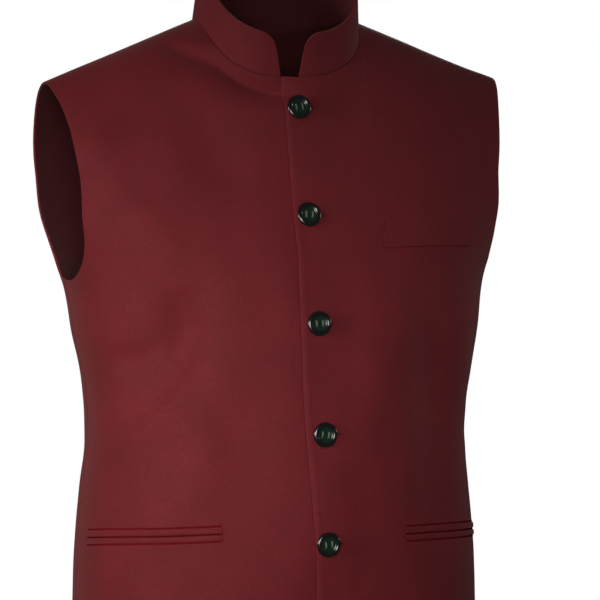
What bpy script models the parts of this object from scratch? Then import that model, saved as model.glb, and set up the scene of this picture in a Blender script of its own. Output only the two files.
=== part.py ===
"""Nehru jacket, buttoned up and in its worn form, as its maker cuts it: two fronts, a back,
a stand collar, a breast welt, two jetted pockets and five buttons.

Run it with: blender --background --python part.py

Metres. +X is the wearer's left, the front faces -Y and +Z is up. The origin is midway between
the shoulders, at the height of the middle of the shoulder seams, where the wearer holds it up.

The cloth lies on one smooth figure. A place on the figure is an angle round it (0 at the
wearer's left side, 90 degrees at the centre, 180 at the right side) and a drop, the distance
down the cloth from the shoulder line. Each panel is laid out in angle and drop between its
four cut edges, and then gets its wall.
"""

import math
from typing import NamedTuple

import bpy
import numpy as np

COLLECTION = "nehru_jacket"

FRONT = -1
BACK = 1

# Cloth and making
WALL = 0.0024
COLLAR_WALL = 0.0030
SEAM_GAP = 0.0003
LAYER_GAP = 0.0006

# Shoulders and neck
SHOULDER_HALF = 0.229
NECK_HALF = 0.080
NECK_SIDE_Z = 0.0285
SHOULDER_SLOPE = math.tan(math.radians(21.7))
RIDGE_SOFTNESS = 0.012
FRONT_ROUND = 0.085
NAPE_ROUND = 0.045
BACK_ROUND = 0.060
FRONT_NECK_DEPTH = 0.133
BACK_NECK_DEPTH = 0.060
NECK_FLATNESS = {FRONT: 1.5, BACK: 1.6}
NECK_SQUARENESS = {FRONT: 2.8, BACK: 1.6}

# Armholes
TIP_ANGLE = math.radians(30.0)
ARMHOLE_ANGLE = {FRONT: math.radians(35.5), BACK: math.radians(27.0)}
ARMHOLE_TURN_Z = -0.115
ARMHOLE_BOTTOM_Z = -0.219
ARMHOLE_SQUARENESS = 2.05

# Length and front
HEM_Z = -0.634
OVERLAP = 0.016
HEM_CORNER = 0.030
LAYER_BLEND = 0.030
UNDER_SINK = 0.0008
OVER_RISE = WALL + LAYER_GAP - UNDER_SINK

# Buttons
FIRST_BUTTON = 0.031
BUTTON_PITCH = 0.104
BUTTON_X = (-0.001, 0.0005, 0.004, 0.004, -0.002)
BUTTON_RADIUS = 0.0118
# A button's half section from the middle of its face out over the rim and back to its shank, as
# (radius, height over the cloth).
BUTTON_PROFILE = (
    (0.0000, 0.0034),
    (0.0070, 0.0034),
    (0.0092, 0.0048),
    (BUTTON_RADIUS, 0.0036),
    (0.0108, 0.0018),
    (0.0026, 0.0015),
    (0.0026, 0.0000),
    (0.0000, 0.0000),
)

# Collar
COLLAR_HEIGHT = 0.040
COLLAR_FLARE = 0.20
COLLAR_CORNER = 0.014
COLLAR_LEAN = math.radians(12.0)
COLLAR_TAPER = math.tan(math.radians(5.0))
COLLAR_RIGHT_END = -0.014
COLLAR_LEFT_END = 0.004

# Pockets
JET_WIDTH = 0.0062
JET_MOUTH = 0.0010
JET_THICK = 0.0010
JET_LENGTH = 0.150
JET_DROOP = 0.0060
WELT_INNER = 0.0765
WELT_LENGTH = 0.104
WELT_Z = -0.1775
WELT_RISE = 0.001
WELT_HEIGHT = 0.024
WELT_THICK = 0.0012

# Mesh steps
NECK_COLUMNS = {FRONT: 10, BACK: 8}
SHOULDER_COLUMNS = 10
ARMHOLE_ROWS = 16
CROWDING = 1.35
SIDE_ROWS = 18
JET_STEPS = 14
WELT_STEPS = (10, 2)
BUTTON_STEPS = 20


class Pocket(NamedTuple):
    """One lower pocket: its hand, its mouth's height, its inner end and its rise to the outer end."""

    hand: str
    z: float
    inner_x: float
    rise: float


POCKETS = (
    Pocket("right", -0.4545, -0.091, -0.0035),
    Pocket("left", -0.4650, 0.093, -0.0055),
)


class Section(NamedTuple):
    """One level section of the figure.

    half_width, front and back are its reach to the side, forward and backward. sway is how far
    the wearer's stance moves it to the left, and centre is where the front's centre line hangs.
    """

    z: float
    half_width: float
    front: float
    back: float
    sway: float
    centre: float


SECTIONS = (
    #       z       half    front   back    sway    centre
    Section(-0.680, 0.203, 0.122, 0.116, -0.004, 0.010),
    Section(-0.634, 0.202, 0.124, 0.113, -0.004, 0.010),
    Section(-0.560, 0.200, 0.127, 0.109, -0.004, 0.009),
    Section(-0.479, 0.197, 0.129, 0.102, -0.004, 0.007),
    Section(-0.420, 0.192, 0.128, 0.094, -0.004, 0.003),
    Section(-0.375, 0.187, 0.127, 0.089, -0.003, 0.000),
    Section(-0.325, 0.191, 0.124, 0.091, -0.001, -0.002),
    Section(-0.272, 0.201, 0.120, 0.097, 0.000, -0.002),
    Section(-0.219, 0.210, 0.113, 0.104, 0.000, -0.001),
    Section(-0.201, 0.217, 0.109, 0.105, 0.000, 0.000),
    Section(-0.183, 0.226, 0.105, 0.106, 0.000, 0.000),
    Section(-0.159, 0.238, 0.098, 0.106, 0.000, 0.000),
    Section(-0.112, 0.247, 0.086, 0.101, 0.000, 0.000),
    Section(-0.058, 0.252, 0.072, 0.090, 0.000, 0.000),
    Section(-0.026, 0.256, 0.065, 0.082, 0.000, 0.000),
    Section(0.011, 0.258, 0.060, 0.074, 0.000, 0.000),
    Section(0.061, 0.258, 0.056, 0.067, 0.000, 0.000),
)
SQUARENESS = 2.5


class Fold(NamedTuple):
    """A soft fold over a path of three points, each (x, z). A negative height is a hollow."""

    side: int
    start: tuple
    middle: tuple
    end: tuple
    width: float
    height: float


FOLDS = (
    #    side   start            middle           end              width  height
    Fold(FRONT, (-0.121, -0.219), (-0.115, -0.260), (-0.142, -0.300), 0.022, -0.0095),
    Fold(FRONT, (-0.140, -0.228), (-0.152, -0.285), (-0.186, -0.308), 0.018, -0.0030),
    Fold(FRONT, (-0.205, -0.120), (-0.150, -0.160), (-0.104, -0.235), 0.024, 0.0045),
    Fold(FRONT, (-0.118, -0.265), (-0.143, -0.322), (-0.189, -0.388), 0.010, -0.0018),
    Fold(FRONT, (-0.106, -0.063), (-0.086, -0.093), (-0.068, -0.133), 0.030, -0.0060),
    Fold(FRONT, (-0.178, -0.063), (-0.130, -0.068), (-0.071, -0.063), 0.022, -0.0030),
    Fold(FRONT, (-0.204, -0.071), (-0.197, -0.092), (-0.193, -0.123), 0.024, 0.0060),
    Fold(FRONT, (-0.008, -0.038), (0.000, -0.059), (-0.001, -0.092), 0.032, 0.0035),
    Fold(FRONT, (-0.006, -0.144), (0.019, -0.213), (0.024, -0.275), 0.026, -0.0030),
    Fold(FRONT, (-0.018, -0.150), (-0.020, -0.280), (-0.019, -0.430), 0.022, 0.0020),
    Fold(FRONT, (0.088, -0.228), (0.053, -0.324), (0.035, -0.407), 0.028, 0.0045),
    Fold(FRONT, (0.082, -0.150), (0.078, -0.235), (0.070, -0.330), 0.022, -0.0022),
    Fold(FRONT, (0.010, -0.378), (-0.009, -0.436), (-0.016, -0.520), 0.030, 0.0045),
    Fold(FRONT, (-0.078, -0.329), (-0.079, -0.374), (-0.081, -0.450), 0.026, -0.0045),
    Fold(FRONT, (-0.168, -0.444), (-0.146, -0.439), (-0.123, -0.448), 0.024, 0.0040),
    Fold(FRONT, (0.122, -0.235), (0.132, -0.340), (0.124, -0.500), 0.028, -0.0075),
    Fold(FRONT, (0.168, -0.244), (0.174, -0.325), (0.160, -0.390), 0.016, 0.0020),
    Fold(FRONT, (-0.113, 0.002), (-0.070, -0.036), (-0.014, -0.051), 0.010, -0.0028),
    Fold(FRONT, (0.108, -0.004), (0.068, -0.038), (0.030, -0.050), 0.010, -0.0018),
    Fold(BACK, (-0.185, -0.300), (-0.100, -0.345), (-0.015, -0.350), 0.026, -0.0040),
    Fold(BACK, (0.185, -0.290), (0.110, -0.330), (0.030, -0.338), 0.026, -0.0040),
    Fold(BACK, (-0.170, -0.180), (-0.120, -0.235), (-0.075, -0.300), 0.028, 0.0030),
    Fold(BACK, (0.175, -0.170), (0.130, -0.225), (0.080, -0.285), 0.028, 0.0030),
)
FOLD_POINTS = 25

RED_CLOTH = (0.105, 0.014, 0.018, 1.0)
RED_COLLAR = (0.095, 0.012, 0.016, 1.0)
BLACK_RESIN = (0.010, 0.010, 0.010, 1.0)


# ---- the figure ---------------------------------------------------------------------------


def soft_step(value):
    """0 below 0, 1 above 1 and smooth between."""
    t = np.clip(value, 0.0, 1.0)
    return t * t * (3 - 2 * t)


def through(name, z):
    """The smooth curve through one column of SECTIONS, at the heights z."""
    heights = np.array([section.z for section in SECTIONS])
    values = np.array([getattr(section, name) for section in SECTIONS])
    slopes = np.gradient(values, heights)
    low = np.clip(np.searchsorted(heights, z) - 1, 0, len(heights) - 2)
    span = heights[low + 1] - heights[low]
    t = np.clip((z - heights[low]) / span, 0.0, 1.0)
    start = (1 + 2 * t) * (1 - t) ** 2 * values[low] + t * (1 - t) ** 2 * span * slopes[low]
    end = t**2 * (3 - 2 * t) * values[low + 1] - t**2 * (1 - t) * span * slopes[low + 1]
    return start + end


def lateral(x):
    """Distance from the centre plane, rounded off at the centre."""
    return np.sqrt(np.asarray(x) ** 2 + RIDGE_SOFTNESS**2)


def ridge_z(x):
    """Height of the shoulder line, carried on over the neck."""
    return NECK_SIDE_Z - SHOULDER_SLOPE * (lateral(x) - lateral(NECK_HALF))


def round_height(side, x):
    """Height over which the shoulder rounds over into the front or the back."""
    if side == FRONT:
        return np.full_like(x, FRONT_ROUND)
    outer = soft_step((lateral(x) - 0.8 * NECK_HALF) / (SHOULDER_HALF - NECK_HALF))
    return NAPE_ROUND + (BACK_ROUND - NAPE_ROUND) * outer


def fall_of(drop, radius):
    """Height lost over a drop down the cloth."""
    turn = np.minimum(drop / radius, math.pi / 2)
    return radius * (1 - np.cos(turn)) + np.maximum(drop - radius * math.pi / 2, 0.0)


def drop_of(fall, radius):
    """The drop down the cloth that loses this height."""
    turn = np.arccos(np.clip(1 - fall / radius, 0.0, 1.0))
    return np.where(fall < radius, radius * turn, fall + radius * (math.pi / 2 - 1))


def figure(side, angle, drop):
    """Points of the figure.

    The width depends on the height and the height on the width, so they settle in a few steps.
    """
    cosine = np.cos(angle)
    sine = np.sin(angle)
    across = np.sign(cosine) * np.abs(cosine) ** (2 / SQUARENESS)
    forward = np.sign(sine) * np.abs(sine) ** (2 / SQUARENESS)
    x = SHOULDER_HALF * across
    for _ in range(10):
        radius = round_height(side, x)
        z = ridge_z(x) - fall_of(drop, radius)
        x = through("half_width", z) * across
    depth = through("front" if side == FRONT else "back", z)
    reach = np.sin(np.minimum(drop / radius, math.pi / 2))
    return np.stack([x + through("sway", z), side * depth * forward * reach, z], axis=-1)


def outward(side, angle, drop):
    """Unit normals of the figure."""
    turn = 1e-4
    slide = 1e-5
    round_it = figure(side, angle + turn, drop) - figure(side, angle - turn, drop)
    down_it = figure(side, angle, drop + slide) - figure(side, angle, drop - slide)
    normal = -side * np.cross(round_it, down_it)
    return normal / np.linalg.norm(normal, axis=-1, keepdims=True)


def at_height(side, angle, z):
    """(angle, drop) of the place at this angle and height."""
    across = np.sign(np.cos(angle)) * np.abs(np.cos(angle)) ** (2 / SQUARENESS)
    x = through("half_width", z) * across
    return np.stack([angle + 0 * z, drop_of(ridge_z(x) - z, round_height(side, x))], axis=-1)


def angle_at(x, z):
    """Angle round the figure at this x, measured from the section's own middle, and height."""
    share = np.clip(np.abs(x) / through("half_width", z), 0.0, 1.0)
    return np.arccos(np.sign(x) * share ** (SQUARENESS / 2))


def centre_line(z):
    """Where the front's centre line hangs, measured from the section's own middle."""
    return through("centre", z) - through("sway", z)


def at_point(side, x, z):
    """(angle, drop) of the place at this x and height."""
    drop = drop_of(ridge_z(x) - z, round_height(side, x + 0 * z))
    return np.stack([angle_at(x, z), drop], axis=-1)


# ---- what lies over the figure: folds and the lapped fronts -----------------------------------


def fold_height(side, points):
    """How far the folds lift the cloth at these points."""
    lift = np.zeros(points.shape[:-1])
    t = np.linspace(0.0, 1.0, FOLD_POINTS)[:, None]
    for fold in FOLDS:
        if fold.side != side:
            continue
        start, middle, end = (np.array(place) for place in (fold.start, fold.middle, fold.end))
        path = (1 - t) ** 2 * start + 2 * t * (1 - t) * middle + t**2 * end
        away = np.linalg.norm(points[..., None, [0, 2]] - path, axis=-1)
        nearest = np.argmin(away, axis=-1)
        along = nearest / (FOLD_POINTS - 1)
        fade = np.sin(math.pi * np.clip(along, 0.04, 0.96)) ** 0.6
        lift += fold.height * fade * np.exp(-((np.min(away, axis=-1) / fold.width) ** 2))
    return lift


def lap_height(panel, points):
    """How far a front is raised or sunk where the two fronts lap at the centre."""
    x = points[..., 0] - through("centre", points[..., 2])
    if panel == "front_left":
        return OVER_RISE * (1 - soft_step((x - OVERLAP) / LAYER_BLEND))
    if panel == "front_right":
        return -UNDER_SINK * soft_step((x + OVERLAP + LAYER_BLEND) / LAYER_BLEND)
    return np.zeros_like(x)


def on_panel(panel, side, places):
    """Outer points and normals of a panel's cloth at an array of (angle, drop)."""
    points = figure(side, places[..., 0], places[..., 1])
    normals = outward(side, places[..., 0], places[..., 1])
    lift = fold_height(side, points) + lap_height(panel, points)
    return points + lift[..., None] * normals, normals


# ---- cut edges --------------------------------------------------------------------------------


def evenly(side, path, count, crowding=1.0):
    """This path of (angle, drop), in count steps along the cloth.

    The steps are equal at a crowding of 1 and shorter at the start above it.
    """
    points = figure(side, path[:, 0], path[:, 1])
    steps = np.linalg.norm(np.diff(points, axis=0), axis=1)
    length = np.concatenate([[0.0], np.cumsum(steps)])
    wanted = length[-1] * np.linspace(0.0, 1.0, count + 1) ** crowding
    return np.stack([np.interp(wanted, length, path[:, k]) for k in range(2)], axis=-1)


def joined(*paths):
    """Paths end to end, without the doubled points."""
    return np.concatenate([paths[0]] + [path[1:] for path in paths[1:]])


def neck_edge(side, start_x, end_x, dense=60):
    """The cut edge of the neck on the left half, from start_x outwards to end_x."""
    turn = np.linspace(math.asin(start_x / NECK_HALF), math.asin(end_x / NECK_HALF), dense)
    x = NECK_HALF * np.sin(turn)
    depth = FRONT_NECK_DEPTH if side == FRONT else BACK_NECK_DEPTH
    share = np.clip(1 - np.abs(x / NECK_HALF) ** NECK_FLATNESS[side], 0.0, 1.0)
    drop = np.maximum(depth * share ** (1 / NECK_SQUARENESS[side]), SEAM_GAP)
    z = ridge_z(x) - fall_of(drop, round_height(side, x))
    return np.stack([angle_at(x, z), drop], axis=-1)


def shoulder_edge(inner_angle, dense=40):
    """The shoulder seam's edge on the left half, from the neck to the tip."""
    angle = np.linspace(inner_angle, TIP_ANGLE, dense)
    return np.stack([angle, np.full(dense, SEAM_GAP)], axis=-1)


def armhole_edge(side, dense=120):
    """The armhole's edge on the left half, from the shoulder tip to the side seam."""
    widest = ARMHOLE_ANGLE[side]
    turn_drop = at_height(side, widest, np.array(ARMHOLE_TURN_Z))[1]
    drop = np.linspace(SEAM_GAP, turn_drop, dense)
    upper = TIP_ANGLE + (widest - TIP_ANGLE) * soft_step(drop / turn_drop)
    straight = np.stack([upper, drop], axis=-1)
    t = np.sin(np.linspace(0.0, math.pi / 2, dense))
    z = ARMHOLE_TURN_Z + (ARMHOLE_BOTTOM_Z - ARMHOLE_TURN_Z) * t
    left = np.clip(1 - t**ARMHOLE_SQUARENESS, 0.0, 1.0)
    angle = np.maximum(widest * left ** (1 / ARMHOLE_SQUARENESS), seam_angle(side, z))
    return joined(straight, at_height(side, angle, z))


def seam_angle(side, z):
    """The small angle that leaves half a seam gap at the side seam."""
    depth = through("front" if side == FRONT else "back", z)
    return np.arcsin((SEAM_GAP / 2 / depth) ** (SQUARENESS / 2))


def side_edge(side, dense=80):
    """The side seam's edge on the left half, from the armhole to the hem."""
    z = np.linspace(ARMHOLE_BOTTOM_Z, HEM_Z, dense)
    return at_height(side, seam_angle(side, z), z)


def front_edge(hand, dense=120):
    """A front's own edge as if it were the left one, and the rest of the hem's corner.

    The edge runs from the neck to half way round that corner. hand is 1 for the left front and
    -1 for the right.
    """
    neck_z = figure(FRONT, *neck_edge(FRONT, -OVERLAP, 0.0)[0])[2]
    straight_z = np.linspace(neck_z, HEM_Z + HEM_CORNER, dense)
    straight = at_point(FRONT, hand * centre_line(straight_z) - OVERLAP, straight_z)
    turn = np.linspace(0.0, math.pi / 2, 41)
    corner_z = HEM_Z + HEM_CORNER * (1 - np.sin(turn))
    corner_x = hand * centre_line(corner_z) - OVERLAP + HEM_CORNER * (1 - np.cos(turn))
    corner = at_point(FRONT, corner_x, corner_z)
    return joined(straight, corner[:21]), corner[20:]


def coons(top, bottom, left, right):
    """A grid that meets four edges and spreads evenly between them."""
    s = np.linspace(0.0, 1.0, len(top))[None, :, None]
    t = np.linspace(0.0, 1.0, len(left))[:, None, None]
    across = (1 - s) * left[:, None] + s * right[:, None]
    along = (1 - t) * top[None] + t * bottom[None]
    upper = (1 - s) * top[0] + s * top[-1]
    lower = (1 - s) * bottom[0] + s * bottom[-1]
    corners = (1 - t) * upper + t * lower
    return across + along - corners


def front_grid(hand):
    """A front as if it were the left one: rows of (angle, drop), from the top down to the hem."""
    neck = neck_edge(FRONT, -OVERLAP, NECK_HALF)
    shoulder = shoulder_edge(neck[-1, 0])
    top = joined(
        evenly(FRONT, neck, NECK_COLUMNS[FRONT]), evenly(FRONT, shoulder, SHOULDER_COLUMNS)
    )
    edge, corner = front_edge(hand)
    level = np.argmin(np.abs(figure(FRONT, edge[:, 0], edge[:, 1])[:, 2] - ARMHOLE_BOTTOM_Z))
    left = joined(
        evenly(FRONT, edge[: level + 1], ARMHOLE_ROWS, CROWDING),
        evenly(FRONT, edge[level:], SIDE_ROWS),
    )
    right = joined(
        evenly(FRONT, armhole_edge(FRONT), ARMHOLE_ROWS, CROWDING),
        evenly(FRONT, side_edge(FRONT), SIDE_ROWS),
    )
    hem_angle = np.linspace(corner[-1, 0], seam_angle(FRONT, np.array(HEM_Z)), 80)
    hem = joined(corner, at_height(FRONT, hem_angle, np.full(80, HEM_Z)))
    bottom = evenly(FRONT, hem, len(top) - 1)
    return coons(top, bottom, left, right)


def mirrored(places):
    """The same places on the other half, in the opposite order across."""
    flipped = places[:, ::-1].copy()
    flipped[..., 0] = math.pi - flipped[..., 0]
    return flipped


def back_grid():
    """The back as rows of (angle, drop), from the wearer's left to the right."""
    neck = neck_edge(BACK, 0.0, NECK_HALF)[::-1]
    shoulder = shoulder_edge(neck[0, 0])[::-1]
    half_top = joined(
        evenly(BACK, shoulder, SHOULDER_COLUMNS), evenly(BACK, neck, NECK_COLUMNS[BACK])
    )
    top = joined(half_top, mirrored(half_top[None])[0])
    left = joined(
        evenly(BACK, armhole_edge(BACK), ARMHOLE_ROWS, CROWDING),
        evenly(BACK, side_edge(BACK), SIDE_ROWS),
    )
    right = mirrored(left[None].transpose(1, 0, 2))[:, 0]
    start = seam_angle(BACK, np.array(HEM_Z))
    hem = at_height(BACK, np.linspace(start, math.pi - start, 161), np.full(161, HEM_Z))
    bottom = evenly(BACK, hem, len(top) - 1)
    return coons(top, bottom, left, right)


# ---- meshes -------------------------------------------------------------------------------------


def new_object(name, vertices, faces, material, smooth_angle=40.0):
    """A mesh object in the jacket's collection."""
    mesh = bpy.data.meshes.new(name)
    mesh.from_pydata([tuple(map(float, vertex)) for vertex in vertices], [], faces)
    mesh.update()
    mesh.materials.append(material)
    mesh.shade_smooth()
    mesh.set_sharp_from_angle(angle=math.radians(smooth_angle))
    obj = bpy.data.objects.new(name, mesh)
    bpy.data.collections[COLLECTION].objects.link(obj)
    return obj


def wall(name, outer, inner, material):
    """A closed cloth wall between two grids of points, with a rim round its four edges."""
    rows, columns = outer.shape[:2]
    count = rows * columns
    index = np.arange(count).reshape(rows, columns)
    faces = []
    for i in range(rows - 1):
        for j in range(columns - 1):
            quad = (index[i, j], index[i + 1, j], index[i + 1, j + 1], index[i, j + 1])
            faces.append(quad)
            faces.append(tuple(count + k for k in reversed(quad)))
    rim = np.concatenate([index[0, :-1], index[:-1, -1], index[-1, :0:-1], index[:0:-1, 0]])
    for a, b in zip(rim, np.roll(rim, -1)):
        faces.append((a, b, count + b, count + a))
    faces = [tuple(int(k) for k in face) for face in faces]
    vertices = np.concatenate([outer.reshape(-1, 3), inner.reshape(-1, 3)])
    if faces_in(vertices, faces):
        faces = [tuple(reversed(face)) for face in faces]
    return new_object(name, vertices, faces, material)


def faces_in(vertices, faces):
    """Whether these quads enclose a negative volume, so that they turn inwards."""
    corners = vertices[np.array(faces)]
    first = np.cross(corners[:, 1], corners[:, 2]) * corners[:, 0]
    second = np.cross(corners[:, 2], corners[:, 3]) * corners[:, 0]
    return first.sum() + second.sum() < 0


def panel_solid(name, side, places, material):
    """One cut panel as a solid."""
    outer, normals = on_panel(name, side, places)
    return wall(name, outer, outer - WALL * normals, material)


def neck_line(left, right, back):
    """The neck seam from the wearer's right collar end round the back to the left one.

    It follows the panels' own cut edges. Gives points, the direction of the run and the
    direction out of the cloth, at each corner of those edges.
    """
    count = NECK_COLUMNS[FRONT] + 1
    neck = slice(SHOULDER_COLUMNS, SHOULDER_COLUMNS + 2 * NECK_COLUMNS[BACK] + 1)
    stretches = (
        on_panel("front_right", FRONT, right[0, -count:][::-1]),
        on_panel("back", BACK, back[0, neck][::-1]),
        on_panel("front_left", FRONT, left[0, :count][::-1]),
    )
    points = np.concatenate([stretches[0][0][:-1], stretches[1][0], stretches[2][0][1:]])
    normals = np.concatenate([stretches[0][1][:-1], stretches[1][1], stretches[2][1][1:]])
    run = np.gradient(points, axis=0)
    run /= np.linalg.norm(run, axis=1, keepdims=True)
    out = np.cross(normals, run)
    out /= np.linalg.norm(out, axis=1, keepdims=True)
    return points, run, out


def collar_solid(left, right, back, material):
    """The stand collar: a band that rises from the neck seam, with its front corners rounded off."""
    points, run, out = neck_line(left, right, back)
    if np.sum(out[:, 2]) < 0:
        out = -out
    steps = np.linalg.norm(np.diff(points, axis=0), axis=1)
    length = np.concatenate([[0.0], np.cumsum(steps)])
    start = length[0] + abs(COLLAR_RIGHT_END - points[0, 0])
    end = length[-1] - abs(COLLAR_LEFT_END - points[-1, 0])
    inside = length[(length > start + 0.003) & (length < end - 0.003)]
    stations = np.concatenate([[start], inside, [end]])
    shares = (stations - start) / (end - start)
    turn = np.radians([30.0, 60.0, 90.0])
    straight = COLLAR_HEIGHT - COLLAR_CORNER
    rounded = straight + COLLAR_CORNER * np.sin(turn)
    heights = np.concatenate([[0.0, straight / 2, straight], rounded])
    corner = np.concatenate([[0.0, 0.0, 0.0], COLLAR_CORNER * (1 - np.cos(turn))])
    outer = []
    inner = []
    for height, back_off in zip(heights, COLLAR_FLARE * heights + corner):
        wanted = start + back_off + shares * (end - start - 2 * back_off)
        base, along, away = (
            np.stack([np.interp(wanted, length, values[:, k]) for k in range(3)], axis=-1)
            for values in (points, run, out)
        )
        towards = -base * np.array([1.0, 1.0, 0.0])
        towards /= np.linalg.norm(towards, axis=1, keepdims=True)
        lean = np.array([0.0, -math.sin(COLLAR_LEAN), math.cos(COLLAR_LEAN)])
        rise = lean + COLLAR_TAPER * towards
        rise /= np.linalg.norm(rise, axis=1, keepdims=True)
        face = np.cross(along, rise if height > 0 else away)
        face /= np.linalg.norm(face, axis=1, keepdims=True)
        face *= np.sign(-np.sum(face * towards, axis=1))[:, None]
        away /= np.linalg.norm(away, axis=1, keepdims=True)
        top = base + SEAM_GAP * away + height * rise
        outer.append(top)
        inner.append(top - COLLAR_WALL * face)
    return wall("collar", np.array(outer), np.array(inner), material)


def patch_solid(name, panel, places, thick, material):
    """A flat piece laid on a front, a seam gap clear of it."""
    points, normals = on_panel(panel, FRONT, places)
    clear = 1.3 * SEAM_GAP
    return wall(name, points + (clear + thick) * normals, points + clear * normals, material)


def level_strip(inner_x, length, middle_z, rise, steps, droop=0.0):
    """(angle, height) along a strip that runs outwards from inner_x, rises, and droops at its outer end."""
    sign = math.copysign(1.0, inner_x)
    start = angle_at(np.array(abs(inner_x)), np.array(middle_z))
    angles = np.linspace(start, 0.02, 200)
    points = figure(FRONT, *at_height(FRONT, angles, np.full(200, middle_z)).T)
    run = np.concatenate([[0.0], np.cumsum(np.linalg.norm(np.diff(points, axis=0), axis=1))])
    along = np.linspace(0.0, 1.0, steps + 1)
    angle = np.interp(along * length, run, angles)
    z = middle_z + rise * (along - 0.5) - droop * along**3
    return (angle if sign > 0 else math.pi - angle), z


def jet_solid(name, pocket, way, material):
    """One jet of a pocket, above the mouth if way is 1 and below it if way is -1."""
    angle, z = level_strip(pocket.inner_x, JET_LENGTH, pocket.z, pocket.rise, JET_STEPS, JET_DROOP)
    offset = way * (JET_WIDTH + JET_MOUTH) / 2
    edges = z[None] + offset + np.array([JET_WIDTH / 2, -JET_WIDTH / 2])[:, None]
    angles = np.broadcast_to(angle, edges.shape)
    places = at_height(FRONT, angles, edges)
    return patch_solid(name, f"front_{pocket.hand}", places, JET_THICK, material)


def welt_solid(material):
    """The breast welt on the left front."""
    angle, z = level_strip(WELT_INNER, WELT_LENGTH, WELT_Z, WELT_RISE, WELT_STEPS[0])
    across = np.linspace(WELT_HEIGHT / 2, -WELT_HEIGHT / 2, WELT_STEPS[1] + 1)
    edges = z[None] + across[:, None]
    angles = np.broadcast_to(angle, edges.shape)
    places = at_height(FRONT, angles, edges)
    return patch_solid("breast_welt", "front_left", places, WELT_THICK, material)


def button_mesh(material):
    """The buttons' shared half section."""
    mesh = bpy.data.meshes.new("button")
    count = len(BUTTON_PROFILE)
    vertices = [(radius, 0.0, height) for radius, height in BUTTON_PROFILE]
    mesh.from_pydata(vertices, [(k, k + 1) for k in range(count - 1)], [])
    mesh.materials.append(material)
    return mesh


def button_places():
    """The point on the outer cloth and the normal under each button's centre.

    The buttons are evenly spaced down the cloth, and each hangs a little aside of the centre line.
    """
    neck_z = figure(FRONT, *neck_edge(FRONT, 0.0, NECK_HALF)[0])[2]
    z = np.linspace(neck_z, HEM_Z, 2000)
    points, _ = on_panel("front_left", FRONT, at_point(FRONT, centre_line(z), z))
    run = np.concatenate([[0.0], np.cumsum(np.linalg.norm(np.diff(points, axis=0), axis=1))])
    for number, aside in enumerate(BUTTON_X):
        k = int(np.argmin(np.abs(run - FIRST_BUTTON - number * BUTTON_PITCH)))
        place = at_point(FRONT, centre_line(z[k : k + 1]) + aside, z[k : k + 1])
        point, normal = on_panel("front_left", FRONT, place)
        yield point[0], normal[0]


def add_buttons(material):
    """Each button stands on the upper front over the centre line."""
    mesh = button_mesh(material)
    for number, (point, normal) in enumerate(button_places(), start=1):
        obj = bpy.data.objects.new(f"button_{number}", mesh)
        bpy.data.collections[COLLECTION].objects.link(obj)
        turn = obj.modifiers.new("turn", "SCREW")
        turn.axis = "Z"
        turn.steps = BUTTON_STEPS
        turn.render_steps = BUTTON_STEPS
        turn.use_merge_vertices = True
        turn.merge_threshold = 0.00002
        turn.use_smooth_shade = True
        tilt = math.atan2(normal[2], -normal[1])
        obj.rotation_euler = (math.pi / 2 - tilt, 0.0, 0.0)
        obj.location = [float(v) for v in point + 2 * SEAM_GAP * normal]


def material_of(name, colour, roughness):
    """A plain finish."""
    material = bpy.data.materials.new(name)
    material.use_nodes = True
    shader = material.node_tree.nodes["Principled BSDF"]
    shader.inputs["Base Color"].default_value = colour
    shader.inputs["Roughness"].default_value = roughness
    return material


def main():
    """Builds every piece of the jacket."""
    for obj in list(bpy.data.objects):
        bpy.data.objects.remove(obj, do_unlink=True)
    bpy.context.scene.collection.children.link(bpy.data.collections.new(COLLECTION))
    suiting = material_of("suiting", RED_CLOTH, 0.85)
    collar_cloth = material_of("collar_suiting", RED_COLLAR, 0.85)
    resin = material_of("black_resin", BLACK_RESIN, 0.25)

    left = front_grid(1)
    right = mirrored(front_grid(-1))
    back = back_grid()
    panel_solid("front_left", FRONT, left, suiting)
    panel_solid("front_right", FRONT, right, suiting)
    panel_solid("back", BACK, back, suiting)
    collar_solid(left, right, back, collar_cloth)
    welt_solid(suiting)
    for pocket in POCKETS:
        for level, way in (("upper", 1), ("lower", -1)):
            jet_solid(f"jet_{level}_{pocket.hand}", pocket, way, suiting)
    add_buttons(resin)


if __name__ == "__main__":
    main()
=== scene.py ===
"""The looks of a Nehru jacket: a burgundy sleeveless jacket, buttoned up and in its worn form.

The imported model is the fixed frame, and each piece here stands for one of its nodes. Metres. +X is
the wearer's left, the front faces -Y and +Z is up. The origin is midway between the shoulders.

The cloth lies on one smooth figure. A place on the figure is an angle round it (0 at the wearer's
left side, 90 degrees at the centre) and a drop, the distance down the cloth from the shoulder line.
Panels are laid out in angle and drop between their four cut edges, then get their folds, their
wall, their weave and their sewing.
"""

from __future__ import annotations

import logging
import math
from dataclasses import dataclass, field
from enum import Enum, IntEnum
from typing import Iterable, Iterator, NamedTuple

import bpy
import numpy as np
from mathutils import Matrix, Vector, noise

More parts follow.
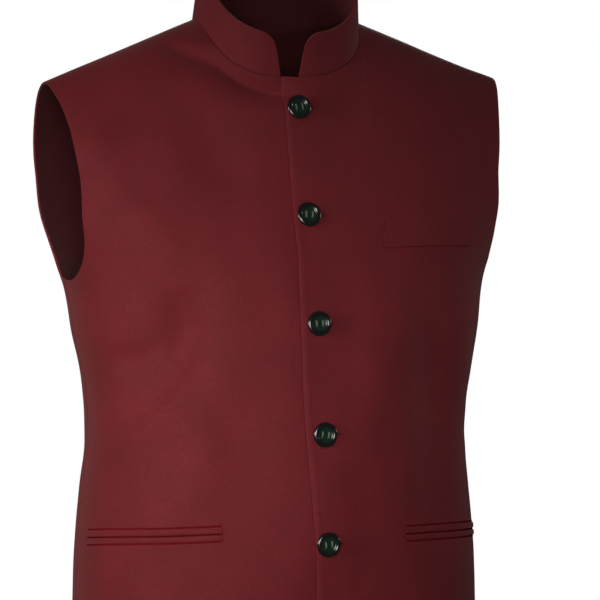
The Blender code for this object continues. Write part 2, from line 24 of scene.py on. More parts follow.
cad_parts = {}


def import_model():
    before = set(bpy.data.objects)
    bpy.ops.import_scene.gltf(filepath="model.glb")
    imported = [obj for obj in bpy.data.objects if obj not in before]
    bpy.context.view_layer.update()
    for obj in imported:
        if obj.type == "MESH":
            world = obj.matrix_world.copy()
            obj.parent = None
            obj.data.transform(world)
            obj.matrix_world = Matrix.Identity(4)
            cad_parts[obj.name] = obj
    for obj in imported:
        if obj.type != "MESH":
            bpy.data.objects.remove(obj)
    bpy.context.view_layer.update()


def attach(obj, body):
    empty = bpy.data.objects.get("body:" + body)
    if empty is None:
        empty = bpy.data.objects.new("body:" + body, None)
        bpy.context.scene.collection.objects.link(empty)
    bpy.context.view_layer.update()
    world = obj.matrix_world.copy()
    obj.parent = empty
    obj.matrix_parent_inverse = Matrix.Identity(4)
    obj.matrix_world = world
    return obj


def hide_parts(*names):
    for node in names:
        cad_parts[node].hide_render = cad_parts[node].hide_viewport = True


log = logging.getLogger("nehru_jacket")
Array = np.ndarray
Faces = list[tuple[int, ...]]
BODY = "root"


class Side(IntEnum):
    """Which half of the figure a panel lies on, as the sign of its y."""

    FRONT = -1
    BACK = 1


class Hand(IntEnum):
    """The wearer's left or right, as the sign of x."""

    LEFT = 1
    RIGHT = -1


class Face(Enum):
    """The material slot of a face of cloth."""

    OUTER = 0
    INNER = 1


class Resin(IntEnum):
    """The material slot of a button's face."""

    BLACK = 0
    WELL = 1


# ---- sizes -------------------------------------------------------------------------------------


class Section(NamedTuple):
    """One level section of the figure: reaches, sideways sway and the front's centre line."""

    z: float
    half_width: float
    front: float
    back: float
    sway: float
    centre: float


SECTIONS = (
    #       z       half    front   back    sway    centre
    Section(-0.680, 0.203, 0.122, 0.116, -0.004, 0.010),
    Section(-0.634, 0.202, 0.124, 0.113, -0.004, 0.010),
    Section(-0.560, 0.200, 0.127, 0.109, -0.004, 0.009),
    Section(-0.479, 0.197, 0.129, 0.102, -0.004, 0.007),
    Section(-0.420, 0.192, 0.128, 0.094, -0.004, 0.003),
    Section(-0.375, 0.187, 0.127, 0.089, -0.003, 0.000),
    Section(-0.325, 0.191, 0.124, 0.091, -0.001, -0.002),
    Section(-0.272, 0.201, 0.120, 0.097, 0.000, -0.002),
    Section(-0.219, 0.210, 0.113, 0.104, 0.000, -0.001),
    Section(-0.201, 0.217, 0.109, 0.105, 0.000, 0.000),
    Section(-0.183, 0.226, 0.105, 0.106, 0.000, 0.000),
    Section(-0.159, 0.238, 0.098, 0.106, 0.000, 0.000),
    Section(-0.112, 0.247, 0.086, 0.101, 0.000, 0.000),
    Section(-0.058, 0.252, 0.072, 0.090, 0.000, 0.000),
    Section(-0.026, 0.256, 0.065, 0.082, 0.000, 0.000),
    Section(0.011, 0.258, 0.060, 0.074, 0.000, 0.000),
    Section(0.061, 0.258, 0.056, 0.067, 0.000, 0.000),
)


class Fold(NamedTuple):
    """A soft fold over a path of three points, each (x, z). A negative height is a hollow."""

    side: Side
    start: tuple[float, float]
    middle: tuple[float, float]
    end: tuple[float, float]
    width: float
    height: float


# The largest folds, which the solids have too.
FOLDS = (
    #    side         start            middle           end              width  height
    Fold(Side.FRONT, (-0.121, -0.219), (-0.115, -0.260), (-0.142, -0.300), 0.022, -0.0095),
    Fold(Side.FRONT, (-0.140, -0.228), (-0.152, -0.285), (-0.186, -0.308), 0.018, -0.0030),
    Fold(Side.FRONT, (-0.205, -0.120), (-0.150, -0.160), (-0.104, -0.235), 0.024, 0.0045),
    Fold(Side.FRONT, (-0.118, -0.265), (-0.143, -0.322), (-0.189, -0.388), 0.010, -0.0018),
    Fold(Side.FRONT, (-0.106, -0.063), (-0.086, -0.093), (-0.068, -0.133), 0.030, -0.0060),
    Fold(Side.FRONT, (-0.178, -0.063), (-0.130, -0.068), (-0.071, -0.063), 0.022, -0.0030),
    Fold(Side.FRONT, (-0.204, -0.071), (-0.197, -0.092), (-0.193, -0.123), 0.024, 0.0060),
    Fold(Side.FRONT, (-0.008, -0.038), (0.000, -0.059), (-0.001, -0.092), 0.032, 0.0035),
    Fold(Side.FRONT, (-0.006, -0.144), (0.019, -0.213), (0.024, -0.275), 0.026, -0.0030),
    Fold(Side.FRONT, (-0.018, -0.150), (-0.020, -0.280), (-0.019, -0.430), 0.022, 0.0020),
    Fold(Side.FRONT, (0.088, -0.228), (0.053, -0.324), (0.035, -0.407), 0.028, 0.0045),
    Fold(Side.FRONT, (0.082, -0.150), (0.078, -0.235), (0.070, -0.330), 0.022, -0.0022),
    Fold(Side.FRONT, (0.010, -0.378), (-0.009, -0.436), (-0.016, -0.520), 0.030, 0.0045),
    Fold(Side.FRONT, (-0.078, -0.329), (-0.079, -0.374), (-0.081, -0.450), 0.026, -0.0045),
    Fold(Side.FRONT, (-0.168, -0.444), (-0.146, -0.439), (-0.123, -0.448), 0.024, 0.0040),
    Fold(Side.FRONT, (0.122, -0.235), (0.132, -0.340), (0.124, -0.500), 0.028, -0.0075),
    Fold(Side.FRONT, (0.168, -0.244), (0.174, -0.325), (0.160, -0.390), 0.016, 0.0020),
    Fold(Side.FRONT, (-0.113, 0.002), (-0.070, -0.036), (-0.014, -0.051), 0.010, -0.0028),
    Fold(Side.FRONT, (0.108, -0.004), (0.068, -0.038), (0.030, -0.050), 0.010, -0.0018),
    Fold(Side.BACK, (-0.185, -0.300), (-0.100, -0.345), (-0.015, -0.350), 0.026, -0.0040),
    Fold(Side.BACK, (0.185, -0.290), (0.110, -0.330), (0.030, -0.338), 0.026, -0.0040),
    Fold(Side.BACK, (-0.170, -0.180), (-0.120, -0.235), (-0.075, -0.300), 0.028, 0.0030),
    Fold(Side.BACK, (0.175, -0.170), (0.130, -0.225), (0.080, -0.285), 0.028, 0.0030),
)

# Finer creases, which only the looks have.
CREASES = (
    #    side         start            middle           end              width  height
    Fold(Side.FRONT, (-0.114, -0.302), (-0.150, -0.347), (-0.187, -0.391), 0.0070, 0.0030),
    Fold(Side.FRONT, (-0.186, -0.294), (-0.171, -0.296), (-0.155, -0.280), 0.013, -0.0040),
    Fold(Side.FRONT, (-0.117, -0.236), (-0.122, -0.300), (-0.170, -0.322), 0.024, -0.0064),
    Fold(Side.FRONT, (-0.118, 0.003), (-0.094, -0.008), (-0.060, -0.015), 0.0070, -0.0050),
    Fold(Side.FRONT, (-0.082, -0.007), (-0.048, -0.041), (0.006, -0.048), 0.0070, -0.0068),
    Fold(Side.FRONT, (0.224, -0.020), (0.216, -0.090), (0.209, -0.175), 0.020, 0.0050),
    Fold(Side.FRONT, (-0.202, -0.425), (-0.170, -0.432), (-0.130, -0.428), 0.012, -0.0010),
    Fold(Side.FRONT, (0.203, -0.150), (0.160, -0.190), (0.118, -0.250), 0.016, 0.0012),
    Fold(Side.FRONT, (0.190, -0.330), (0.150, -0.350), (0.110, -0.345), 0.014, -0.0014),
    Fold(Side.FRONT, (0.192, -0.380), (0.160, -0.395), (0.118, -0.400), 0.012, 0.0010),
    Fold(Side.FRONT, (-0.050, -0.500), (-0.060, -0.570), (-0.055, -0.640), 0.022, 0.0016),
    Fold(Side.FRONT, (0.080, -0.490), (0.088, -0.570), (0.080, -0.640), 0.024, -0.0016),
    Fold(Side.BACK, (-0.060, -0.010), (0.000, -0.032), (0.060, -0.010), 0.012, -0.0014),
    Fold(Side.BACK, (-0.180, -0.360), (-0.120, -0.385), (-0.050, -0.382), 0.014, 0.0018),
    Fold(Side.BACK, (0.180, -0.345), (0.120, -0.372), (0.055, -0.374), 0.014, 0.0018),
    Fold(Side.BACK, (-0.110, -0.440), (-0.118, -0.540), (-0.110, -0.640), 0.026, 0.0030),
    Fold(Side.BACK, (0.105, -0.430), (0.116, -0.540), (0.108, -0.640), 0.026, 0.0030),
    Fold(Side.BACK, (0.000, -0.420), (0.004, -0.520), (0.000, -0.640), 0.030, -0.0024),
)


class Pocket(NamedTuple):
    """One lower pocket: its hand, its mouth's height, its inner end and its rise outwards."""

    hand: Hand
    z: float
    inner_x: float
    rise: float


POCKETS = (
    Pocket(Hand.RIGHT, -0.4545, -0.091, -0.0035),
    Pocket(Hand.LEFT, -0.4650, 0.093, -0.0055),
)


@dataclass(frozen=True)
class Cloth:
    """How the cloth is made up: its thickness, its gaps and how its edges are rounded."""

    wall: float = 0.0024
    collar_wall: float = 0.0030
    seam_gap: float = 0.0003
    layer_gap: float = 0.0006
    under_sink: float = 0.0008
    layer_blend: float = 0.030
    overlap: float = 0.0132
    edge_round: float = 0.0007
    roll_depth: float = 0.0009
    roll_width: float = 0.0045
    # Where a strip of painted seam shade has its back and its face, as shares of the seam gap under
    # a piece.
    ditch_faces: tuple[float, float] = (0.1, 0.9)

    @property
    def over_rise(self) -> float:
        """How far the upper front stands over the figure where it laps."""
        return self.wall + self.layer_gap - self.under_sink


# ---- small geometry ----------------------------------------------------------------------------


def soft_step(value: Array) -> Array:
    """0 below 0, 1 above 1 and smooth between."""
    t = np.clip(value, 0.0, 1.0)
    return t * t * (3 - 2 * t)


def unit(vectors: Array) -> Array:
    """The same directions as vectors of length 1, whose last axis is x, y, z."""
    return vectors / np.linalg.norm(vectors, axis=-1, keepdims=True)


def run_of(points: Array) -> Array:
    """Distance along a path from its first point to each of its points."""
    return np.concatenate([[0.0], np.cumsum(np.linalg.norm(np.diff(points, axis=0), axis=1))])


def joined(*paths: Array) -> Array:
    """Paths end to end, where each starts at the last one's end and adds no doubled point."""
    return np.concatenate([paths[0]] + [path[1:] for path in paths[1:]])


def mirrored(places: Array) -> Array:
    """Places on the other half of the figure, in the opposite order across.

    Args:
        places: Rows of (angle, drop).

    Returns:
        The mirrored rows.
    """
    flipped = places[:, ::-1].copy()
    flipped[..., 0] = math.pi - flipped[..., 0]
    return flipped


# ---- the figure --------------------------------------------------------------------------------


@dataclass(frozen=True)
class Figure:
    """The worn form that the cloth lies on."""

    sections: tuple[Section, ...] = SECTIONS
    squareness: float = 2.5
    shoulder_half: float = 0.229
    neck_half: float = 0.080
    neck_side_z: float = 0.0285
    shoulder_slope: float = math.tan(math.radians(21.7))
    ridge_softness: float = 0.012
    front_round: float = 0.085
    nape_round: float = 0.045
    back_round: float = 0.060
    nape_share: float = 0.8
    settling_steps: int = 10

    def through(self, name: str, z: Array) -> Array:
        """The smooth curve through one column of the sections.

        Args:
            name: The column.
            z: Heights.

        Returns:
            The column's value at each height.
        """
        heights = np.array([section.z for section in self.sections])
        values = np.array([getattr(section, name) for section in self.sections])
        slopes = np.gradient(values, heights)
        low = np.clip(np.searchsorted(heights, z) - 1, 0, len(heights) - 2)
        span = heights[low + 1] - heights[low]
        t = np.clip((z - heights[low]) / span, 0.0, 1.0)
        start = (1 + 2 * t) * (1 - t) ** 2 * values[low] + t * (1 - t) ** 2 * span * slopes[low]
        end = t**2 * (3 - 2 * t) * values[low + 1] - t**2 * (1 - t) * span * slopes[low + 1]
        return start + end

    def depth(self, side: Side, z: Array) -> Array:
        """How far the front or the back stands from the middle plane at these heights."""
        return self.through(side.name.lower(), z)

    def bent(self, share: Array) -> Array:
        """A cosine or sine turned from a circle's to the squarer section's."""
        return np.sign(share) * np.abs(share) ** (2 / self.squareness)

    def lateral(self, x: Array) -> Array:
        """Distance of places across from the centre plane, rounded off at the centre."""
        return np.sqrt(np.asarray(x) ** 2 + self.ridge_softness**2)

    def ridge_z(self, x: Array) -> Array:
        """Height of the shoulder line at places across, carried on over the neck."""
        run = self.lateral(x) - self.lateral(self.neck_half)
        return self.neck_side_z - self.shoulder_slope * run

    def round_height(self, side: Side, x: Array) -> Array:
        """Height over which the shoulder rounds over into the front or the back.

        Args:
            side: The front or the back.
            x: Places across.

        Returns:
            The heights.
        """
        if side == Side.FRONT:
            return np.full_like(x, self.front_round)
        width = self.shoulder_half - self.neck_half
        outer = soft_step((self.lateral(x) - self.nape_share * self.neck_half) / width)
        return self.nape_round + (self.back_round - self.nape_round) * outer

    @staticmethod
    def fall_of(drop: Array, radius: Array) -> Array:
        """Height lost over a drop down the cloth, where the shoulder has this rounding."""
        turn = np.minimum(drop / radius, math.pi / 2)
        return radius * (1 - np.cos(turn)) + np.maximum(drop - radius * math.pi / 2, 0.0)

    @staticmethod
    def drop_of(fall: Array, radius: Array) -> Array:
        """The drop down the cloth that loses this height, where the shoulder is so rounded."""
        turn = np.arccos(np.clip(1 - fall / radius, 0.0, 1.0))
        return np.where(fall < radius, radius * turn, fall + radius * (math.pi / 2 - 1))

    def point(self, side: Side, angle: Array, drop: Array) -> Array:
        """Points of the figure.

        Args:
            side: The front or the back.
            angle: Angles round the figure.
            drop: Distances down the cloth.

        Returns:
            The points. Width depends on height and height on width, so they settle in steps.
        """
        across = self.bent(np.cos(angle))
        forward = self.bent(np.sin(angle))
        x = self.shoulder_half * across
        for _ in range(self.settling_steps):
            radius = self.round_height(side, x)
            z = self.ridge_z(x) - self.fall_of(drop, radius)
            x = self.through("half_width", z) * across
        reach = np.sin(np.minimum(drop / radius, math.pi / 2))
        y = int(side) * self.depth(side, z) * forward * reach
        return np.stack([x + self.through("sway", z), y, z], axis=-1)

    def outward(self, side: Side, angle: Array, drop: Array) -> Array:
        """Unit normals of the figure.

        Args:
            side: The front or the back.
            angle: Angles round the figure.
            drop: Distances down the cloth.

        Returns:
            The normals, which point out of the wearer.
        """
        turn = 1e-4
        slide = 1e-5
        round_it = self.point(side, angle + turn, drop) - self.point(side, angle - turn, drop)
        down_it = self.point(side, angle, drop + slide) - self.point(side, angle, drop - slide)
        return unit(-int(side) * np.cross(round_it, down_it))

    def at_height(self, side: Side, angle: Array, z: Array) -> Array:
        """The places at these angles and heights.

        Args:
            side: The front or the back.
            angle: Angles round the figure.
            z: Heights.

        Returns:
            Rows of (angle, drop).
        """
        x = self.through("half_width", z) * self.bent(np.cos(angle))
        drop = self.drop_of(self.ridge_z(x) - z, self.round_height(side, x))
        return np.stack([angle + 0 * z, drop], axis=-1)

    def angle_at(self, x: Array, z: Array) -> Array:
        """Angles round the figure of places across, from the section's own middle, at heights."""
        share = np.clip(np.abs(x) / self.through("half_width", z), 0.0, 1.0)
        return np.arccos(np.sign(x) * share ** (self.squareness / 2))

    def at_point(self, side: Side, x: Array, z: Array) -> Array:
        """Rows of (angle, drop) for places across, from the section's own middle, at heights."""
        drop = self.drop_of(self.ridge_z(x) - z, self.round_height(side, x + 0 * z))
        return np.stack([self.angle_at(x, z), drop], axis=-1)

    def centre_line(self, z: Array) -> Array:
        """Where the front's centre line hangs at heights, from the section's own middle."""
        return self.through("centre", z) - self.through("sway", z)


# ---- the pattern -------------------------------------------------------------------------------


class NeckCurve(NamedTuple):
    """How the neck is cut: how low it goes, how flat it is there and how square its corners are."""

    depth: float
    flatness: float
    squareness: float


@dataclass(frozen=True)
class Pattern:
    """The cut edges of the panels and the grids laid out between them."""

    figure: Figure
    cloth: Cloth
    front_neck: NeckCurve = NeckCurve(0.133, 1.42, 3.3)
    back_neck: NeckCurve = NeckCurve(0.060, 1.6, 1.6)
    tip_angle: float = math.radians(30.0)
    front_armhole_angle: float = math.radians(35.5)
    back_armhole_angle: float = math.radians(27.0)
    armhole_turn_z: float = -0.115
    armhole_bottom_z: float = -0.219
    armhole_squareness: float = 2.05
    hem_z: float = -0.634
    hem_corner: float = 0.030
    front_neck_columns: int = 44
    back_neck_columns: int = 32
    shoulder_columns: int = 40
    armhole_rows: int = 56
    side_rows: int = 84
    half_corner_steps: int = 40
    crowding: float = 1.3

    def evenly(self, side: Side, path: Array, count: int, crowding: float = 1.0) -> Array:
        """A path in count steps along the cloth, shorter at the start if crowding is over 1.

        Args:
            side: The front or the back.
            path: Rows of (angle, drop).
            count: The number of steps.
            crowding: 1 for equal steps.

        Returns:
            The path at its new steps.
        """
        length = run_of(self.figure.point(side, path[:, 0], path[:, 1]))
        wanted = length[-1] * np.linspace(0.0, 1.0, count + 1) ** crowding
        return np.stack([np.interp(wanted, length, path[:, k]) for k in range(2)], axis=-1)

    def neck_edge(self, side: Side, start_x: float, end_x: float, dense: int = 200) -> Array:
        """The cut edge of the neck on the left half.

        Args:
            side: The front or the back.
            start_x: Where it starts.
            end_x: Where it ends, further out.
            dense: The number of points.

        Returns:
            The edge as (angle, drop).
        """
        figure = self.figure
        half = figure.neck_half
        x = half * np.sin(np.linspace(math.asin(start_x / half), math.asin(end_x / half), dense))
        curve = self.front_neck if side == Side.FRONT else self.back_neck
        share = np.clip(1 - np.abs(x / half) ** curve.flatness, 0.0, 1.0)
        drop = np.maximum(curve.depth * share ** (1 / curve.squareness), self.cloth.seam_gap)
        z = figure.ridge_z(x) - figure.fall_of(drop, figure.round_height(side, x))
        return np.stack([figure.angle_at(x, z), drop], axis=-1)

    def shoulder_edge(self, inner_angle: float, dense: int = 120) -> Array:
        """The shoulder seam's edge on the left half, from the neck to the tip."""
        angle = np.linspace(inner_angle, self.tip_angle, dense)
        return np.stack([angle, np.full(dense, self.cloth.seam_gap)], axis=-1)

    def armhole_edge(self, side: Side, dense: int = 240) -> Array:
        """The armhole's edge on the left half, from the shoulder tip to the side seam.

        Args:
            side: The front or the back.
            dense: The number of points in each half.

        Returns:
            The edge as (angle, drop).
        """
        figure = self.figure
        widest = self.front_armhole_angle if side == Side.FRONT else self.back_armhole_angle
        turn_drop = figure.at_height(side, widest, np.array(self.armhole_turn_z))[1]
        drop = np.linspace(self.cloth.seam_gap, turn_drop, dense)
        upper = self.tip_angle + (widest - self.tip_angle) * soft_step(drop / turn_drop)
        t = np.sin(np.linspace(0.0, math.pi / 2, dense))
        z = self.armhole_turn_z + (self.armhole_bottom_z - self.armhole_turn_z) * t
        left = np.clip(1 - t**self.armhole_squareness, 0.0, 1.0)
        lower = widest * left ** (1 / self.armhole_squareness)
        angle = np.maximum(lower, self.seam_angle(side, z))
        return joined(np.stack([upper, drop], axis=-1), figure.at_height(side, angle, z))

    def seam_angle(self, side: Side, z: Array) -> Array:
        """The small angle that leaves half a seam gap at the side seam, at heights."""
        share = self.cloth.seam_gap / 2 / self.figure.depth(side, z)
        return np.arcsin(share ** (self.figure.squareness / 2))

    def side_edge(self, side: Side, dense: int = 200) -> Array:
        """The side seam's edge on the left half, from the armhole to the hem."""
        z = np.linspace(self.armhole_bottom_z, self.hem_z, dense)
        return self.figure.at_height(side, self.seam_angle(side, z), z)

    def front_edge(self, hand: Hand, inset: float = 0.0, dense: int = 400) -> tuple[Array, Array]:
        """A front's own edge as if it were the left one.

        Args:
            hand: The front's hand, because the centre line drifts aside.
            inset: How far inside the cut edge to run, as a row of stitches does.
            dense: The number of points down the straight part.

        Returns:
            The edge from the neck to half way round the hem's corner, and the rest of the corner.
        """
        figure = self.figure
        overlap = self.cloth.overlap - inset
        radius = self.hem_corner - inset
        place = self.neck_edge(Side.FRONT, -self.cloth.overlap, 0.0)[0]
        neck_z = figure.point(Side.FRONT, *place)[2]
        straight_z = np.linspace(neck_z, self.hem_z + self.hem_corner, dense)
        straight_x = int(hand) * figure.centre_line(straight_z) - overlap
        turn = np.linspace(0.0, math.pi / 2, 2 * self.half_corner_steps + 1)
        corner_z = self.hem_z + self.hem_corner - radius * np.sin(turn)
        drift = int(hand) * figure.centre_line(corner_z)
        corner_x = drift - overlap + radius * (1 - np.cos(turn))
        straight = figure.at_point(Side.FRONT, straight_x, straight_z)
        corner = figure.at_point(Side.FRONT, corner_x, corner_z)
        middle = self.half_corner_steps
        return joined(straight, corner[: middle + 1]), corner[middle:]

    @staticmethod
    def between(top: Array, bottom: Array, left: Array, right: Array) -> Array:
        """A grid that meets four edges and spreads evenly between them.

        Args:
            top: The top edge, left to right.
            bottom: The bottom edge, left to right.
            left: The left edge, down.
            right: The right edge, down.

        Returns:
            The grid, with top as its first row.
        """
        s = np.linspace(0.0, 1.0, len(top))[None, :, None]
        t = np.linspace(0.0, 1.0, len(left))[:, None, None]
        across = (1 - s) * left[:, None] + s * right[:, None]
        along = (1 - t) * top[None] + t * bottom[None]
        upper = (1 - s) * top[0] + s * top[-1]
        lower = (1 - s) * bottom[0] + s * bottom[-1]
        return across + along - (1 - t) * upper - t * lower

    def side_and_armhole(self, side: Side) -> Array:
        """The panel's outer edge on the left half, from the shoulder tip to the hem.

        Args:
            side: The front or the back.

        Returns:
            The edge at the grid's rows.
        """
        return joined(
            self.evenly(side, self.armhole_edge(side), self.armhole_rows, self.crowding),
            self.evenly(side, self.side_edge(side), self.side_rows),
        )

    def front_grid(self, hand: Hand, dense: int = 300) -> Array:
        """A front as rows of (angle, drop) from the top down to the hem.

        Args:
            hand: The wearer's left or right front.
            dense: The number of points along the hem before it is stepped.

        Returns:
            The grid. Its first column is on the front edge as if it were the left front.
        """
        figure = self.figure
        side = Side.FRONT
        neck = self.neck_edge(side, -self.cloth.overlap, figure.neck_half)
        top = joined(
            self.evenly(side, neck, self.front_neck_columns),
            self.evenly(side, self.shoulder_edge(neck[-1, 0]), self.shoulder_columns),
        )
        edge, corner = self.front_edge(hand)
        heights = figure.point(side, edge[:, 0], edge[:, 1])[:, 2]
        level = int(np.argmin(np.abs(heights - self.armhole_bottom_z)))
        left = joined(
            self.evenly(side, edge[: level + 1], self.armhole_rows, self.crowding),
            self.evenly(side, edge[level:], self.side_rows),
        )
        hem_angle = np.linspace(corner[-1, 0], self.seam_angle(side, np.array(self.hem_z)), dense)
        hem = joined(corner, figure.at_height(side, hem_angle, np.full(dense, self.hem_z)))
        bottom = self.evenly(side, hem, len(top) - 1)
        return self.between(top, bottom, left, self.side_and_armhole(side))

    def back_grid(self, dense: int = 401) -> Array:
        """The back as rows of (angle, drop), from the wearer's left to the right.

        Args:
            dense: The number of points along the hem before it is stepped.

        Returns:
            The grid.
        """
        side = Side.BACK
        neck = self.neck_edge(side, 0.0, self.figure.neck_half)[::-1]
        half_top = joined(
            self.evenly(side, self.shoulder_edge(neck[0, 0])[::-1], self.shoulder_columns),
            self.evenly(side, neck, self.back_neck_columns),
        )
        top = joined(half_top, mirrored(half_top[None])[0])
        left = self.side_and_armhole(side)
        right = mirrored(left[None].transpose(1, 0, 2))[:, 0]
        start = float(self.seam_angle(side, np.array(self.hem_z)))
        hem_angle = np.linspace(start, math.pi - start, dense)
        hem = self.figure.at_height(side, hem_angle, np.full(dense, self.hem_z))
        return self.between(top, self.evenly(side, hem, len(top) - 1), left, right)


# ---- the drape ---------------------------------------------------------------------------------


@dataclass(frozen=True)
class Drape:
    """What lifts the cloth off the figure: folds, creases, the lap and a slight unevenness."""

    figure: Figure
    cloth: Cloth
    folds: tuple[Fold, ...] = FOLDS + CREASES
    path_points: int = 81
    fold_ends: tuple[float, float] = (0.04, 0.96)
    fold_fade: float = 0.6
    unevenness: float = 0.00045
    unevenness_size: float = 0.060
    finer_share: float = 0.4
    finer_by: float = 2.3

    def fold_lift(self, side: Side, points: Array) -> Array:
        """How far the folds lift the cloth.

        Args:
            side: The front or the back.
            points: Points of the figure.

        Returns:
            The lifts.
        """
        lift = np.zeros(points.shape[:-1])
        t = np.linspace(0.0, 1.0, self.path_points)[:, None]
        for fold in self.folds:
            if fold.side != side:
                continue
            start, middle, end = map(np.array, (fold.start, fold.middle, fold.end))
            path = (1 - t) ** 2 * start + 2 * t * (1 - t) * middle + t**2 * end
            least = np.full(points.shape[:-1], np.inf)
            along = np.zeros(points.shape[:-1])
            for share, place in zip(t[:, 0], path):
                away = np.hypot(points[..., 0] - place[0], points[..., 2] - place[1])
                nearer = away < least
                least = np.where(nearer, away, least)
                along = np.where(nearer, share, along)
            fade = np.sin(math.pi * np.clip(along, *self.fold_ends)) ** self.fold_fade
            lift += fold.height * fade * np.exp(-((least / fold.width) ** 2))
        return lift

    def lap_lift(self, panel: str, points: Array) -> Array:
        """How far a front is raised or sunk where the two fronts lap.

        Args:
            panel: The panel's name.
            points: Points of the figure.

        Returns:
            The lifts.
        """
        cloth = self.cloth
        x = points[..., 0] - self.figure.through("centre", points[..., 2])
        if panel == "front_left":
            return cloth.over_rise * (1 - soft_step((x - cloth.overlap) / cloth.layer_blend))
        if panel == "front_right":
            inner = (x + cloth.overlap + cloth.layer_blend) / cloth.layer_blend
            return -cloth.under_sink * soft_step(inner)
        return np.zeros_like(x)

    def edge_roll(self, panel: str, points: Array) -> Array:
        """How far the face of the upper front rolls down to its pressed edge.

        Args:
            panel: The panel's name.
            points: Points of the cloth's face.

        Returns:
            How much thinner the cloth is there.
        """
        if panel != "front_left":
            return np.zeros(points.shape[:-1])
        x = points[..., 0] - self.figure.through("centre", points[..., 2]) + self.cloth.overlap
        return self.cloth.roll_depth * np.clip(1 - x / self.cloth.roll_width, 0.0, 1.0) ** 2

    def uneven_lift(self, points: Array) -> Array:
        """The slight unevenness of worn cloth.

        Args:
            points: Points of the figure.

        Returns:
            The lifts.
        """
        flat = points.reshape(-1, 3) / self.unevenness_size
        broad = np.array([noise.noise(Vector(point)) for point in flat])
        fine = np.array([noise.noise(Vector(self.finer_by * point)) for point in flat])
        return self.unevenness * (broad + self.finer_share * fine).reshape(points.shape[:-1])

    def lay(self, panel: str, side: Side, places: Array) -> tuple[Array, Array]:
        """Lays cloth on the figure.

        Args:
            panel: The panel's name.
            side: The front or the back.
            places: Places as (angle, drop).

        Returns:
            Outer points and normals.
        """
        points = self.figure.point(side, places[..., 0], places[..., 1])
        normals = self.figure.outward(side, places[..., 0], places[..., 1])
        lift = self.fold_lift(side, points) + self.lap_lift(panel, points)
        lift = lift + self.uneven_lift(points)
        return points + lift[..., None] * normals, normals


# ---- materials ---------------------------------------------------------------------------------


# A wave texture with scale 1 repeats every 0.314 m, so this over a spacing gives its scale.
WAVE_REPEAT = 0.314

# The inputs of a colour mix, which have only their numbers to tell them apart.
MIX_SHARE, MIX_FROM, MIX_TO = 0, 6, 7
MIX_COLOUR = 2


def linear(colour: str) -> tuple[float, float, float, float]:
    """An sRGB hex colour as linear light.

    Args:
        colour: Six hex digits.

    Returns:
        Red, green, blue and full alpha.
    """
    channels = [int(colour[k : k + 2], 16) / 255 for k in (0, 2, 4)]
    turned = [c / 12.92 if c <= 0.04045 else ((c + 0.055) / 1.055) ** 2.4 for c in channels]
    return (*turned, 1.0)


def put(tree: bpy.types.NodeTree, socket: bpy.types.NodeSocket, value: object) -> None:
    """Links or sets one input of a node.

    Args:
        tree: The tree of nodes.
        socket: The input.
        value: An output to link, or a value.
    """
    if isinstance(value, bpy.types.NodeSocket):
        tree.links.new(value, socket)
    else:
        socket.default_value = value


def add_node(
    tree: bpy.types.NodeTree,
    kind: str,
    inputs: dict[str | int, object] | None = None,
    **settings: object,
) -> bpy.types.Node:
    """Adds a node with its settings and links.

    Args:
        tree: The tree of nodes.
        kind: The node's type.
        inputs: Input names or numbers, each with an output to link or a value.
        **settings: The node's own settings.

    Returns:
        The node.
    """
    node = tree.nodes.new(kind)
    for key, value in settings.items():
        setattr(node, key, value)
    for key, value in (inputs or {}).items():
        put(tree, node.inputs[key], value)
    return node


class Shader:
    """The nodes of one material, around its Principled shader."""

    def __init__(self, name: str) -> None:
        """Makes an empty material.

        Args:
            name: The material's name.
        """
        self.material = bpy.data.materials.new(name)
        self.material.use_nodes = True
        self.tree = self.material.node_tree
        self.surface = self.tree.nodes["Principled BSDF"]

    def add(
        self, kind: str, inputs: dict[str | int, object] | None = None, **settings: object
    ) -> bpy.types.Node:
        """Adds a node to this material, in the way of add_node."""
        return add_node(self.tree, kind, inputs, **settings)

    def finish(self, **values: object) -> bpy.types.Material:
        """Sets the surface's inputs.

        Args:
            **values: Input names with underscores for spaces.

        Returns:
            The material.
        """
        for key, value in values.items():
            put(self.tree, self.surface.inputs[key.replace("_", " ")], value)
        return self.material


